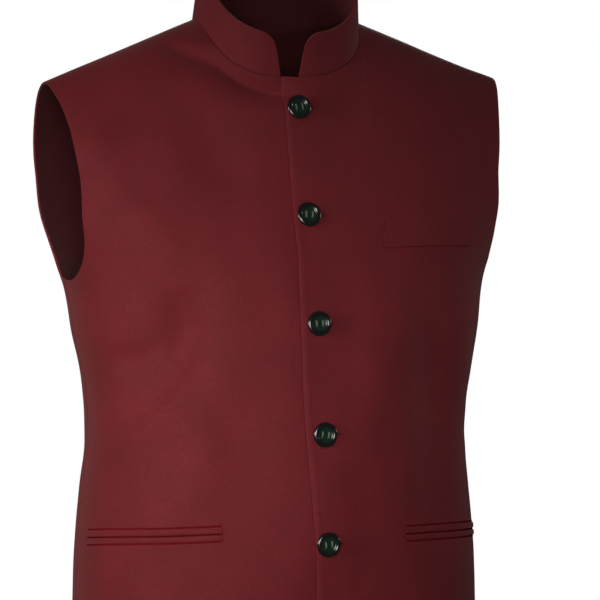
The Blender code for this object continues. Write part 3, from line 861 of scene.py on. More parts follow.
@dataclass(frozen=True)
class WorstedSuiting:
    """Fine wool-blend twill, piece dyed and pressed.

    Two close burgundies give it depth, the twill's fine slant catches raking light, the slow
    mottle is what pressing and wear leave, and the sheen is the nap's soft bloom. The lines of
    such a twill are usually about 0.6 mm apart and its yarns 0.4 mm thick. Both are too fine to
    show in the render, so they are drawn coarser by the factor below. The slubs and the mottle
    are broad enough to show as they are.
    """

    name: str
    warp: str
    weft: str
    roughness: float = 0.72
    sheen: float = 0.17
    gloss: float = 0.235
    twill: float = 0.0006
    yarn: float = 0.0004
    coarser: float = 3.5
    twill_slant: float = math.radians(52.0)
    twill_waver: float = 1.0
    slub: float = 0.0040
    mottle: float = 0.045
    detail: float = 2.0
    all_warp: float = 1.1
    all_weft: float = 1.9
    relief: float = 0.5
    relief_depth: float = 0.00020
    nap: str = "E8A8A0"
    nap_roughness: float = 0.55

    def make(self) -> bpy.types.Material:
        """Builds the material.

        Returns:
            The material, which follows the cut cloth's own coordinates in metres.
        """
        shader = Shader(self.name)
        place = shader.add("ShaderNodeUVMap", uv_map="cut").outputs["UV"]
        turned = shader.add(
            "ShaderNodeMapping", {"Vector": place, "Rotation": (0.0, 0.0, self.twill_slant)}
        )
        rib = shader.add(
            "ShaderNodeTexWave",
            {
                "Vector": turned.outputs["Vector"],
                "Scale": WAVE_REPEAT / (self.coarser * self.twill),
                "Distortion": self.twill_waver,
            },
        )
        clouds = [
            shader.add(
                "ShaderNodeTexNoise", {"Vector": place, "Scale": 1 / size, "Detail": self.detail}
            )
            for size in (self.coarser * self.yarn, self.slub, self.mottle)
        ]
        yarn, slub, mottle = (cloud.outputs["Fac"] for cloud in clouds)
        grain = shader.add("ShaderNodeMath", {0: yarn, 1: slub}, operation="ADD")
        depth = shader.add("ShaderNodeMath", {0: grain.outputs[0], 1: mottle}, operation="ADD")
        share = shader.add(
            "ShaderNodeMapRange",
            {"Value": depth.outputs[0], "From Min": self.all_warp, "From Max": self.all_weft},
        )
        colour = shader.add(
            "ShaderNodeMix",
            {
                MIX_SHARE: share.outputs["Result"],
                MIX_FROM: linear(self.warp),
                MIX_TO: linear(self.weft),
            },
            data_type="RGBA",
        )
        height = shader.add("ShaderNodeMath", {0: rib.outputs["Fac"], 1: yarn}, operation="ADD")
        bump = shader.add(
            "ShaderNodeBump",
            {"Height": height.outputs[0], "Strength": self.relief, "Distance": self.relief_depth},
        )
        return shader.finish(
            Base_Color=colour.outputs[MIX_COLOUR],
            Roughness=self.roughness,
            Normal=bump.outputs["Normal"],
            Specular_IOR_Level=self.gloss,
            Sheen_Weight=self.sheen,
            Sheen_Roughness=self.nap_roughness,
            Sheen_Tint=linear(self.nap),
        )


@dataclass(frozen=True)
class PolishedResin:
    """Cast polyester, tumbled to a gloss: deep black that holds small sharp lights.

    The faint clouds of the casting are 4.5 mm across and only change how sharp those lights are.
    """

    name: str
    colour: str
    roughness: float
    coat: float
    cloud: float = 1 / 220
    cloud_detail: float = 3.0
    cloud_roughness: float = 0.08
    gloss: float = 0.55
    coat_roughness: float = 0.10

    def make(self) -> bpy.types.Material:
        """Builds the material.

        Returns:
            The material, with the faint cloudiness of cast resin.
        """
        shader = Shader(self.name)
        place = shader.add("ShaderNodeTexCoord").outputs["Object"]
        cloud = shader.add(
            "ShaderNodeTexNoise",
            {"Vector": place, "Scale": 1 / self.cloud, "Detail": self.cloud_detail},
        )
        rough = shader.add(
            "ShaderNodeMapRange",
            {
                "Value": cloud.outputs["Fac"],
                "To Min": self.roughness,
                "To Max": self.roughness + self.cloud_roughness,
            },
        )
        return shader.finish(
            Base_Color=linear(self.colour),
            Roughness=rough.outputs["Result"],
            Specular_IOR_Level=self.gloss,
            Coat_Weight=self.coat,
            Coat_Roughness=self.coat_roughness,
        )


@dataclass(frozen=True)
class SpunThread:
    """Two-ply sewing thread: matt, with the fine slant of its twist.

    The twist turns every 0.6 mm, which only shows close up: a coarser one would not fit the thread.
    """

    name: str
    colour: str
    sheen: float = 0.3
    gloss: float = 0.5
    roughness: float = 0.6
    ply: float = 0.0006
    ply_waver: float = 0.5
    relief: float = 0.4
    relief_depth: float = 0.0001

    def make(self) -> bpy.types.Material:
        """Builds the material.

        Returns:
            The material.
        """
        shader = Shader(self.name)
        place = shader.add("ShaderNodeTexCoord").outputs["Object"]
        twist = shader.add(
            "ShaderNodeTexWave",
            {"Vector": place, "Scale": WAVE_REPEAT / self.ply, "Distortion": self.ply_waver},
            bands_direction="DIAGONAL",
        )
        bump = shader.add(
            "ShaderNodeBump",
            {
                "Height": twist.outputs["Fac"],
                "Strength": self.relief,
                "Distance": self.relief_depth,
            },
        )
        return shader.finish(
            Base_Color=linear(self.colour),
            Roughness=self.roughness,
            Normal=bump.outputs["Normal"],
            Specular_IOR_Level=self.gloss,
            Sheen_Weight=self.sheen,
        )


@dataclass(frozen=True)
class PaleVinyl:
    """Matt vinyl for the studio floor: pale and even, with a soft glow that keeps it light."""

    name: str
    colour: str
    roughness: float = 0.9
    glow: float = 0.75

    def make(self) -> bpy.types.Material:
        """Builds the material.

        Returns:
            The material.
        """
        return Shader(self.name).finish(
            Base_Color=linear(self.colour),
            Roughness=self.roughness,
            Emission_Color=linear(self.colour),
            Emission_Strength=self.glow,
        )


class Finishes:
    """The jacket's materials, made once."""

    def __init__(self) -> None:
        """Makes each material."""
        self.suiting = WorstedSuiting("worsted_suiting", "60141C", "701A22").make()
        self.reverse = WorstedSuiting("suiting_reverse", "45141A", "50191F", sheen=0.1).make()
        # Cloth in painted shade: dark colours with no bloom and no gloss.
        shade = {"sheen": 0.0, "gloss": 0.0}
        # Painted seam shadow, for the strips along the jets, the welt and the front edge.
        self.ditch = WorstedSuiting(
            "painted_seam_shade", "5F1119", "66141C", **shade
        ).make()
        # Painted shadow for the pocket mouths, where the slit would be dark.
        self.mouth = WorstedSuiting("painted_pocket_mouth_shade", "540B13", "5A0D15", **shade).make()
        self.resin = PolishedResin("polished_black_resin", "0B0C0B", 0.15, 0.5).make()
        self.well = PolishedResin("button_well_resin", "0B2616", 0.18, 0.3).make()
        self.seam_thread = SpunThread(
            "burgundy_seam_thread", "5A1119", sheen=0.05, gloss=0.15
        ).make()
        self.button_thread = SpunThread("button_thread", "59685A").make()


# ---- meshes ------------------------------------------------------------------------------------

# Edges sharper than the first angle are rounded, in these steps, and than the second stay crisp.
CUT_EDGE_ANGLE = math.radians(50.0)
CUT_EDGE_STEPS = 3
CREASE_ANGLE = math.radians(60.0)

# A path whose direction has more of y than this needs another helper to make a tube round it.
STEEP = 0.9


@dataclass
class Mesh:
    """The points, faces and materials of one piece while it is made."""

    points: list[Array] = field(default_factory=list)
    faces: Faces = field(default_factory=list)
    slots: list[int] = field(default_factory=list)
    places: list[Array] = field(default_factory=list)

    def add(
        self, points: Array, faces: Faces, slot: int = 0, places: Array | None = None
    ) -> None:
        """Adds points and the faces between them.

        Args:
            points: New points.
            faces: Faces as indices into the new points.
            slot: Their material slot.
            places: Flat coordinates in metres, one for each point.
        """
        start = sum(len(block) for block in self.points)
        self.points.append(points)
        self.faces += [tuple(start + int(k) for k in face) for face in faces]
        self.slots += [slot] * len(faces)
        self.places.append(points[:, [0, 2]] if places is None else places)

    def build(
        self, name: str, materials: list[bpy.types.Material], edge_round: float = 0.0
    ) -> bpy.types.Object:
        """Makes the object.

        Args:
            name: The object's name.
            materials: The materials of its slots.
            edge_round: How far its cut edges are rounded.

        Returns:
            The object, with its bevel applied.
        """
        points = np.concatenate(self.points)
        places = np.concatenate(self.places)
        mesh = bpy.data.meshes.new(name)
        mesh.from_pydata(points.tolist(), [], self.faces)
        mesh.polygons.foreach_set("material_index", self.slots)
        corners = np.empty(len(mesh.loops), dtype=np.int32)
        mesh.loops.foreach_get("vertex_index", corners)
        cut = mesh.uv_layers.new(name="cut")
        cut.data.foreach_set("uv", places[corners].astype(np.float32).ravel())
        mesh.update()
        for material in materials:
            mesh.materials.append(material)
        shown = bpy.data.objects.new(name, mesh)
        bpy.context.scene.collection.objects.link(shown)
        if edge_round > 0:
            bevel = shown.modifiers.new("edge", "BEVEL")
            bevel.width = edge_round
            bevel.segments = CUT_EDGE_STEPS
            bevel.limit_method = "ANGLE"
            bevel.angle_limit = CUT_EDGE_ANGLE
            graph = bpy.context.evaluated_depsgraph_get()
            shown.data = bpy.data.meshes.new_from_object(shown.evaluated_get(graph))
            shown.modifiers.clear()
            shown.data.name = name
        shown.data.shade_smooth()
        shown.data.set_sharp_from_angle(angle=CREASE_ANGLE)
        return shown


def grid_faces(rows: int, columns: int, closed: bool = False) -> Faces:
    """The quads of a grid of points.

    Args:
        rows: The number of rows.
        columns: The number of columns.
        closed: Whether the last column joins the first.

    Returns:
        The faces.
    """
    faces = []
    for start in range(0, (rows - 1) * columns, columns):
        after = start + columns
        for j in range(columns if closed else columns - 1):
            k = (j + 1) % columns
            faces.append((start + j, after + j, after + k, start + k))
    return faces


def bar_faces(rows: int, columns: int) -> Faces:
    """The faces of a closed bar, whose grid of points goes round it in each row.

    Args:
        rows: The number of rows along the bar.
        columns: The number of points round it.

    Returns:
        The quads of its wall, then its two ends.
    """
    last = rows * columns - 1
    ends = [tuple(range(columns)), tuple(range(last, last - columns, -1))]
    return grid_faces(rows, columns, closed=True) + ends


def shell(outer: Array, inner: Array, places: Array) -> Mesh:
    """A closed wall of cloth between two grids.

    Args:
        outer: The outer grid of points.
        inner: The inner grid of points.
        places: The cut cloth's coordinates at each point.

    Returns:
        The mesh, facing outwards.
    """
    rows, columns = outer.shape[:2]
    count = rows * columns
    index = np.arange(count).reshape(rows, columns)
    rim = np.concatenate([index[0, :-1], index[:-1, -1], index[-1, :0:-1], index[:0:-1, 0]])
    face = np.array(grid_faces(rows, columns))
    edge = np.array([(a, b, count + b, count + a) for a, b in zip(rim, np.roll(rim, -1))])
    points = np.concatenate([outer.reshape(-1, 3), inner.reshape(-1, 3)])
    groups = [face, count + face[:, ::-1], edge]
    corners = points[np.concatenate(groups)]
    first = np.cross(corners[:, 1], corners[:, 2]) * corners[:, 0]
    second = np.cross(corners[:, 2], corners[:, 3]) * corners[:, 0]
    if first.sum() + second.sum() < 0:
        groups = [group[:, ::-1] for group in groups]
    mesh = Mesh(points=[points], places=[np.concatenate([places.reshape(-1, 2)] * 2)])
    for group, slot in zip(groups, (Face.OUTER.value, Face.INNER.value, Face.OUTER.value)):
        mesh.faces += [tuple(face) for face in group.tolist()]
        mesh.slots += [slot] * len(group)
    return mesh


def cut_places(points: Array, across_from: int) -> Array:
    """Flat coordinates for a grid of cloth, in metres across and down its own surface.

    Args:
        points: The grid of points.
        across_from: The column that lies on the straight grain.

    Returns:
        The coordinates.
    """
    steps = np.linalg.norm(np.diff(points, axis=1), axis=-1)
    across = np.concatenate([np.zeros((len(points), 1)), np.cumsum(steps, axis=1)], axis=1)
    across -= across[:, [across_from]]
    falls = np.linalg.norm(np.diff(points, axis=0), axis=-1)
    down = np.concatenate([np.zeros((1, points.shape[1])), np.cumsum(falls, axis=0)], axis=0)
    return np.stack([across, down - down[-1:]], axis=-1)


def tube(path: Array, radii: Array, sides: int, closed: bool = False) -> tuple[Array, Faces]:
    """A round tube along a path.

    Args:
        path: The path's points.
        radii: The radius at each point.
        sides: The number of sides.
        closed: Whether it is a ring.

    Returns:
        Points and faces.
    """
    if closed:
        run = unit(np.roll(path, -1, axis=0) - np.roll(path, 1, axis=0))
    else:
        run = unit(np.gradient(path, axis=0))
    helper = np.where(np.abs(run[:, 1:2]) > STEEP, [[0.0, 0.0, 1.0]], [[0.0, 1.0, 0.0]])
    first = unit(np.cross(run, helper))[:, None]
    second = np.cross(run, first[:, 0])[:, None]
    turn = np.linspace(0.0, 2 * math.pi, sides, endpoint=False)[None, :, None]
    points = path[:, None] + radii[:, None, None] * (np.cos(turn) * first + np.sin(turn) * second)
    if closed:
        points = np.concatenate([points, points[:1]])
        return points.reshape(-1, 3), grid_faces(len(points), sides, closed=True)
    return points.reshape(-1, 3), bar_faces(len(points), sides)


# ---- sewing ------------------------------------------------------------------------------------


@dataclass(frozen=True)
class Stitching:
    """A row of small even stitches laid on cloth."""

    length: float = 0.0030
    gap: float = 0.0012
    radius: float = 0.00028
    sides: int = 6
    # One stitch from end to end: shares of its length, then height and thickness in radii.
    along: tuple[float, ...] = (0.0, 0.15, 0.5, 0.85, 1.0)
    heights: tuple[float, ...] = (-0.6, 0.15, 0.55, 0.15, -0.6)
    thickness: tuple[float, ...] = (0.35, 0.9, 1.0, 0.9, 0.35)

    def row(self, points: Array, normals: Array) -> Mesh:
        """Sews along a path.

        Args:
            points: The path on the cloth's face.
            normals: The cloth's normals along it.

        Returns:
            The stitches as one mesh.
        """
        mesh = Mesh()
        run = run_of(points)
        count = int(run[-1] // (self.length + self.gap))
        share = np.array(self.along)
        height = self.radius * np.array(self.heights)
        radii = self.radius * np.array(self.thickness)
        for number in range(count):
            along = number * (self.length + self.gap) + share * self.length
            base = np.stack([np.interp(along, run, points[:, k]) for k in range(3)], axis=-1)
            out = unit(np.stack([np.interp(along, run, normals[:, k]) for k in range(3)], axis=-1))
            mesh.add(*tube(base + height[:, None] * out, radii, self.sides))
        return mesh


# ---- the jacket --------------------------------------------------------------------------------


@dataclass(frozen=True)
class CutSize:
    """The size a piece of cloth is cut to: its enclosing width and length, and its flat area."""

    width: float
    length: float
    area: float


FRONT_CUT = CutSize(0.335, 0.690, 0.176)
BACK_CUT = CutSize(0.60, 0.70, 0.331)


@dataclass
class Panel:
    """A cut panel of the body."""

    name: str
    side: Side
    places: Array
    straight_grain: int
    cut: CutSize
    neck: slice

    def lay(self, drape: Drape) -> tuple[Array, Array]:
        """Lays the panel on the figure, as outer points and normals."""
        return drape.lay(self.name, self.side, self.places)

    def make(self, drape: Drape, finishes: Finishes) -> bpy.types.Object:
        """Makes the panel.

        Args:
            drape: The drape.
            finishes: The materials.

        Returns:
            The panel's object.
        """
        laid, normals = self.lay(drape)
        cloth = drape.cloth
        outer = laid - drape.edge_roll(self.name, laid)[..., None] * normals
        inner = laid - cloth.wall * normals
        mesh = shell(outer, inner, cut_places(outer, self.straight_grain))
        faces = [finishes.suiting, finishes.reverse]
        piece = mesh.build(f"{self.name}_cloth", faces, cloth.edge_round)
        stand_in(piece, self.name)
        return piece


def stand_in(piece: bpy.types.Object, node: str) -> None:
    """Lets a piece stand for one node of the frame.

    Args:
        piece: The piece.
        node: The node it replaces.
    """
    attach(piece, BODY)
    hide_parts(node)


def trim(piece: bpy.types.Object) -> None:
    """Adds a piece that stands for no node, such as sewing or a strip of painted shade."""
    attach(piece, BODY)


@dataclass(frozen=True)
class Collar:
    """The stand collar: a stiffened band with its front corners rounded off."""

    height: float = 0.040
    flare: float = 0.20
    corner: float = 0.014
    corner_rows: int = 11
    straight_rows: int = 14
    lean: float = math.radians(12.0)
    taper: float = math.tan(math.radians(5.0))
    right_end: float = -0.014
    left_end: float = 0.004
    end_clear: float = 0.0012
    edge_round: float = 0.0009
    cut: CutSize = CutSize(0.47, 0.040, 0.0186)
    ditch: float = 0.0006
    allowance_half: float = 0.0030
    allowance_clear: float = 0.00015
    allowance_thick: float = 0.0004

    def neck_line(self, drape: Drape, panels: dict[str, Panel]) -> tuple[Array, Array, Array]:
        """The neck seam from the wearer's right collar end round the back to the left one.

        Args:
            drape: The drape.
            panels: The body's panels by name.

        Returns:
            Points, the direction of the run and the direction out of the cloth.
        """
        points, normals = [], []
        # The fronts leave out the point that each shares with the back.
        own = {"front_right": slice(None, -1), "back": slice(None), "front_left": slice(1, None)}
        for name, part in own.items():
            panel = panels[name]
            outer, out = drape.lay(name, panel.side, panel.places[0, panel.neck][::-1])
            points.append(outer[part])
            normals.append(out[part])
        path = np.concatenate(points)
        run = unit(np.gradient(path, axis=0))
        away = unit(np.cross(np.concatenate(normals), run))
        return path, run, -away if away[:, 2].sum() < 0 else away

    def grids(self, drape: Drape, panels: dict[str, Panel]) -> tuple[Array, Array]:
        """The collar's outer and inner faces.

        Args:
            drape: The drape.
            panels: The body's panels by name.

        Returns:
            Both grids of points, from the neck seam up.
        """
        points, run, out = self.neck_line(drape, panels)
        length = run_of(points)
        start = abs(self.right_end - points[0, 0])
        end = length[-1] - abs(self.left_end - points[-1, 0])
        inside = length[(length > start + self.end_clear) & (length < end - self.end_clear)]
        shares = (np.concatenate([[start], inside, [end]]) - start) / (end - start)
        turn = np.linspace(0.0, math.pi / 2, self.corner_rows + 1)[1:]
        straight = self.height - self.corner
        low = np.linspace(0.0, straight, self.straight_rows)
        heights = np.concatenate([low, straight + self.corner * np.sin(turn)])
        corner = np.concatenate([np.zeros(len(low)), self.corner * (1 - np.cos(turn))])
        lean = np.array([0.0, -math.sin(self.lean), math.cos(self.lean)])
        outer, inner = [], []
        for height, back_off in zip(heights, self.flare * heights + corner):
            wanted = start + back_off + shares * (end - start - 2 * back_off)
            base, along, away = (
                np.stack([np.interp(wanted, length, values[:, k]) for k in range(3)], axis=-1)
                for values in (points, run, out)
            )
            towards = unit(-base * np.array([1.0, 1.0, 0.0]))
            rise = unit(lean + self.taper * towards)
            face = unit(np.cross(along, rise))
            face *= np.sign(-np.sum(face * towards, axis=1))[:, None]
            top = base + self.ditch * unit(away) + height * rise
            outer.append(top)
            inner.append(top - drape.cloth.collar_wall * face)
        return np.array(outer), np.array(inner)

    def make(self, drape: Drape, panels: dict[str, Panel], finishes: Finishes) -> None:
        """Makes the collar and the seam allowance at its foot.

        Args:
            drape: The drape.
            panels: The body's panels by name.
            finishes: The materials.
        """
        outer, inner = self.grids(drape, panels)
        mesh = shell(outer, inner, cut_places(outer, outer.shape[1] // 2))
        faces = [finishes.suiting, finishes.reverse]
        piece = mesh.build("collar_band", faces, self.edge_round)
        stand_in(piece, "collar")
        self.allowance(outer, inner, finishes)

    def allowance(self, outer: Array, inner: Array, finishes: Finishes) -> None:
        """Lays the seam allowance that closes the neck seam on the inside.

        Args:
            outer: The collar's outer face.
            inner: The collar's inner face.
            finishes: The materials.
        """
        inward = unit(inner[0] - outer[0])
        rise = unit(inner[1] - inner[0])
        near = inner[0] + self.allowance_clear * inward
        far = near + self.allowance_thick * inward
        up = self.allowance_half * rise
        section = np.stack([near + up, far + up, far - up, near - up], axis=1)
        mesh = Mesh()
        mesh.add(section.reshape(-1, 3), bar_faces(*section.shape[:2]))
        trim(mesh.build("neck_seam_allowance", [finishes.reverse]))


@dataclass(frozen=True)
class Strip:
    """A strip of cloth sewn level on a front: where it starts, its length, height and rise."""

    inner_x: float
    z: float
    length: float
    rise: float
    steps: int
    droop: float = 0.0
    outer_angle: float = 0.02
    dense: int = 400

    def run(self, figure: Figure) -> tuple[Array, Array]:
        """Where the strip's middle line runs.

        Args:
            figure: The figure.

        Returns:
            Angles and heights along it, outwards.
        """
        start = figure.angle_at(np.array(abs(self.inner_x)), np.array(self.z))
        angles = np.linspace(start, self.outer_angle, self.dense)
        places = figure.at_height(Side.FRONT, angles, np.full(self.dense, self.z))
        length = run_of(figure.point(Side.FRONT, places[:, 0], places[:, 1]))
        along = np.linspace(0.0, 1.0, self.steps + 1)
        angle = np.interp(along * self.length, length, angles)
        z = self.z + self.rise * (along - 0.5) - self.droop * along**3
        return (angle if self.inner_x > 0 else math.pi - angle), z

    def piped(self, drape: Drape, panel: str, offset: float, profile: Array) -> Mesh:
        """A strip with a shaped cross-section.

        Args:
            drape: The drape.
            panel: The front it lies on.
            offset: How far above its middle line it lies.
            profile: Its closed cross-section as (up the cloth, out of the cloth).

        Returns:
            The mesh.
        """
        angle, z = self.run(drape.figure)
        heights = z[:, None] + offset + profile[None, :, 0]
        angles = np.broadcast_to(angle[:, None], heights.shape)
        places = drape.figure.at_height(Side.FRONT, angles, heights)
        points, normals = drape.lay(panel, Side.FRONT, places)
        points = points + profile[None, :, 1, None] * normals
        along = np.linspace(0.0, self.length, len(points))[:, None]
        flat = np.stack([np.broadcast_to(along, heights.shape), heights], axis=-1)
        mesh = Mesh()
        mesh.add(points.reshape(-1, 3), bar_faces(*heights.shape), places=flat.reshape(-1, 2))
        return mesh


@dataclass(frozen=True)
class Pillow:
    """A strip's cross-section: flat underneath and softly rounded on top.

    The edge is the share of its thickness that it keeps at its two edges. With a fullness, its top
    is flat and only rounded down near the edges, the more steeply the fuller it is.
    """

    width: float
    thick: float
    clear: float
    steps: int = 9
    edge: float = 0.15
    fullness: float | None = None

    def section(self) -> Array:
        """The section as (up the cloth, out of the cloth)."""
        half = self.width / 2
        turn = np.linspace(math.pi, 0.0, self.steps)
        if self.fullness is None:
            rise = np.sin(turn) ** 0.5
            rise[0] = rise[-1] = self.edge
        else:
            rise = np.clip(np.sin(turn[::-1]) * self.fullness, self.edge, 1.0)
        top = np.stack([half * np.cos(turn), self.clear + self.thick * rise], axis=-1)
        bottom = np.array([[half, self.clear], [0.0, self.clear], [-half, self.clear]])
        return np.concatenate([top, bottom])


def ribbon(width: float, low: float, high: float) -> Array:
    """A flat strip's cross-section as (up the cloth, out of the cloth), with a low back."""
    half = width / 2
    return np.array([[-half, high], [half, high], [half, low], [-half, low]])


@dataclass(frozen=True)
class Pockets:
    """The breast welt and the two double jetted pockets."""

    upper_jet: float = 0.0056
    lower_jet: float = 0.0050
    mouth: float = 0.0018
    # Strips of painted shade: the mouth's width here, and below how far each seam strip shows and
    # runs under the cloth.
    mouth_strip: float = 0.0032
    jet_droop: float = 0.0060
    ditch_show: float = 0.0019
    welt_ditch_show: float = 0.0007
    ditch_end_show: float = 0.0008
    ditch_under: float = 0.0010
    jet_thick: float = 0.0010
    jet_cut: float = 0.0124
    jet_length: float = 0.150
    jet_area: float = 0.00108
    jet_steps: int = 90
    welt: Strip = Strip(0.0765, -0.1775, 0.104, 0.001, 60, 0.0028)
    welt_height: float = 0.024
    welt_thick: float = 0.0012
    welt_points: int = 25
    welt_fullness: float = 9.0
    gaps_clear: float = 1.3

    def make(self, drape: Drape, finishes: Finishes) -> None:
        """Makes every piece of the pockets.

        Args:
            drape: The drape.
            finishes: The materials.
        """
        for pocket in POCKETS:
            self.lower_pocket(pocket, drape, finishes)
        self.breast_welt(drape, finishes)

    def lower_pocket(self, pocket: Pocket, drape: Drape, finishes: Finishes) -> None:
        """Makes one lower pocket: its two jets, and strips of painted shade in its mouth and along
        the seams around them.

        Args:
            pocket: The pocket.
            drape: The drape.
            finishes: The materials.
        """
        hand = pocket.hand.name.lower()
        panel = f"front_{hand}"
        strip = Strip(
            pocket.inner_x, pocket.z, self.jet_length, pocket.rise, self.jet_steps, self.jet_droop
        )
        # The mouth gets a strip of painted shadow, and the inner end and each jet's seam get strips
        # of painted seam shade.
        name = f"pocket_mouth_{hand}"
        self.ditch(drape, finishes.mouth, name, panel, strip, 0.0, self.mouth_strip)
        width = self.mouth + 2 * self.lower_jet
        self.end_ditch(drape, finishes.ditch, f"jet_end_seam_{hand}", panel, strip, width)
        seam = self.ditch_show + self.ditch_under
        clear = self.gaps_clear * drape.cloth.seam_gap
        for level, way, jet in (("upper", 1, self.upper_jet), ("lower", -1, self.lower_jet)):
            middle = way * (jet + (self.mouth + self.ditch_show - self.ditch_under) / 2)
            name = f"jet_{level}_seam_{hand}"
            self.ditch(drape, finishes.ditch, name, panel, strip, middle, seam)
            node = f"jet_{level}_{hand}"
            profile = Pillow(jet, self.jet_thick, clear).section()
            mesh = strip.piped(drape, panel, way * (jet + self.mouth) / 2, profile)
            piece = mesh.build(f"{node}_cloth", [finishes.suiting])
            stand_in(piece, node)

    def breast_welt(self, drape: Drape, finishes: Finishes) -> None:
        """Makes the welt of the breast pocket and strips of painted seam shadow along and beside it.

        Args:
            drape: The drape.
            finishes: The materials.
        """
        panel = "front_left"
        clear = self.gaps_clear * drape.cloth.seam_gap
        height = self.welt_height
        pillow = Pillow(
            height, self.welt_thick, clear, self.welt_points, fullness=self.welt_fullness
        )
        mesh = self.welt.piped(drape, panel, 0.0, pillow.section())
        piece = mesh.build("breast_welt_cloth", [finishes.suiting])
        stand_in(piece, "breast_welt")
        # Strips of painted seam shadow under the welt and across its inner end.
        low = -(height + self.welt_ditch_show - self.ditch_under) / 2
        width = self.welt_ditch_show + self.ditch_under
        self.ditch(drape, finishes.ditch, "welt_painted_seam_shade", panel, self.welt, low, width)
        self.end_ditch(drape, finishes.ditch, "welt_end_painted_shade", panel, self.welt, height)

    def ditch(
        self,
        drape: Drape,
        cloth: bpy.types.Material,
        name: str,
        panel: str,
        strip: Strip,
        offset: float,
        width: float,
    ) -> None:
        """Lays the shaded cloth that shows along a seam or in a pocket's mouth.

        Args:
            drape: The drape.
            cloth: The painted shade's material.
            name: The name of the piece.
            panel: The front it lies on.
            strip: The strip whose line it follows.
            offset: How far above that line it lies.
            width: Its width.
        """
        gap = drape.cloth.seam_gap
        low, high = drape.cloth.ditch_faces
        mesh = strip.piped(drape, panel, offset, ribbon(width, low * gap, high * gap))
        trim(mesh.build(name, [cloth]))

    def end_ditch(
        self,
        drape: Drape,
        cloth: bpy.types.Material,
        name: str,
        panel: str,
        strip: Strip,
        width: float,
    ) -> None:
        """Lays a strip of painted shade across a strip's inner end.

        Args:
            drape: The drape.
            cloth: The painted shade's material.
            name: The name of the piece.
            panel: The front it lies on.
            strip: The strip.
            width: The strip's width.
        """
        start = strip.inner_x - math.copysign(self.ditch_end_show, strip.inner_x)
        z = strip.z - strip.rise / 2
        end = Strip(start, z, self.ditch_end_show + self.ditch_under, 0.0, 2)
        self.ditch(drape, cloth, name, panel, end, 0.0, width)


@dataclass(frozen=True)
class Buttonhole:
    """A worked buttonhole: a dark slit in a corded ring of purl stitches, with a rounder eye."""

    inner: float = -0.0022
    length: float = 0.0170
    half_width: float = 0.0011
    eye: float = 1.6
    turn_points: int = 15
    side_points: int = 60
    bead: float = 0.00052
    bead_swell: float = 0.16
    bead_sides: int = 8
    bead_lift: float = 0.00020
    slit_lift: float = 0.00010

    def ring(self) -> Array:
        """The line round the slit.

        Returns:
            Places across and up the cloth, from the button's middle.
        """
        half = self.half_width
        eye = self.eye * half
        start, end = self.inner, self.inner + self.length
        count = self.side_points
        turn = np.linspace(math.pi / 2, 3 * math.pi / 2, self.turn_points)
        left = np.stack([start + eye * np.cos(turn), eye * np.sin(turn)], axis=-1)
        right = np.stack([end - half * np.cos(turn), -half * np.sin(turn)], axis=-1)
        top = np.stack([np.linspace(end, start, count), np.linspace(half, eye, count)], axis=-1)
        bottom = np.stack(
            [np.linspace(start, end, count), np.linspace(-eye, -half, count)], axis=-1
        )
        return np.concatenate([left, bottom[1:-1], right, top[1:-1]])

    def make(self, drape: Drape, centre: Array, number: int, finishes: Finishes) -> None:
        """Works the buttonhole.

        Args:
            drape: The drape.
            centre: The button's place across and its height.
            number: The button's number.
            finishes: The materials.
        """
        place = centre + self.ring()
        places = drape.figure.at_point(Side.FRONT, place[:, 0], place[:, 1])
        points, normals = drape.lay("front_left", Side.FRONT, places)
        count = len(points)
        bead = self.bead * (1 + self.bead_swell * np.cos(np.arange(count) * math.pi))
        mesh = Mesh()
        cord = points + self.bead_lift * normals
        mesh.add(*tube(cord, bead, self.bead_sides, closed=True))
        # The slit is a flat face in the darker reverse cloth: painted shade for the opening.
        slit = points + self.slit_lift * normals
        fan = [(k, (k + 1) % count, count) for k in range(count)]
        mesh.add(np.concatenate([slit, [slit.mean(axis=0)]]), fan, slot=Face.INNER.value)
        piece = mesh.build(f"buttonhole_{number}", [finishes.seam_thread, finishes.reverse])
        trim(piece)


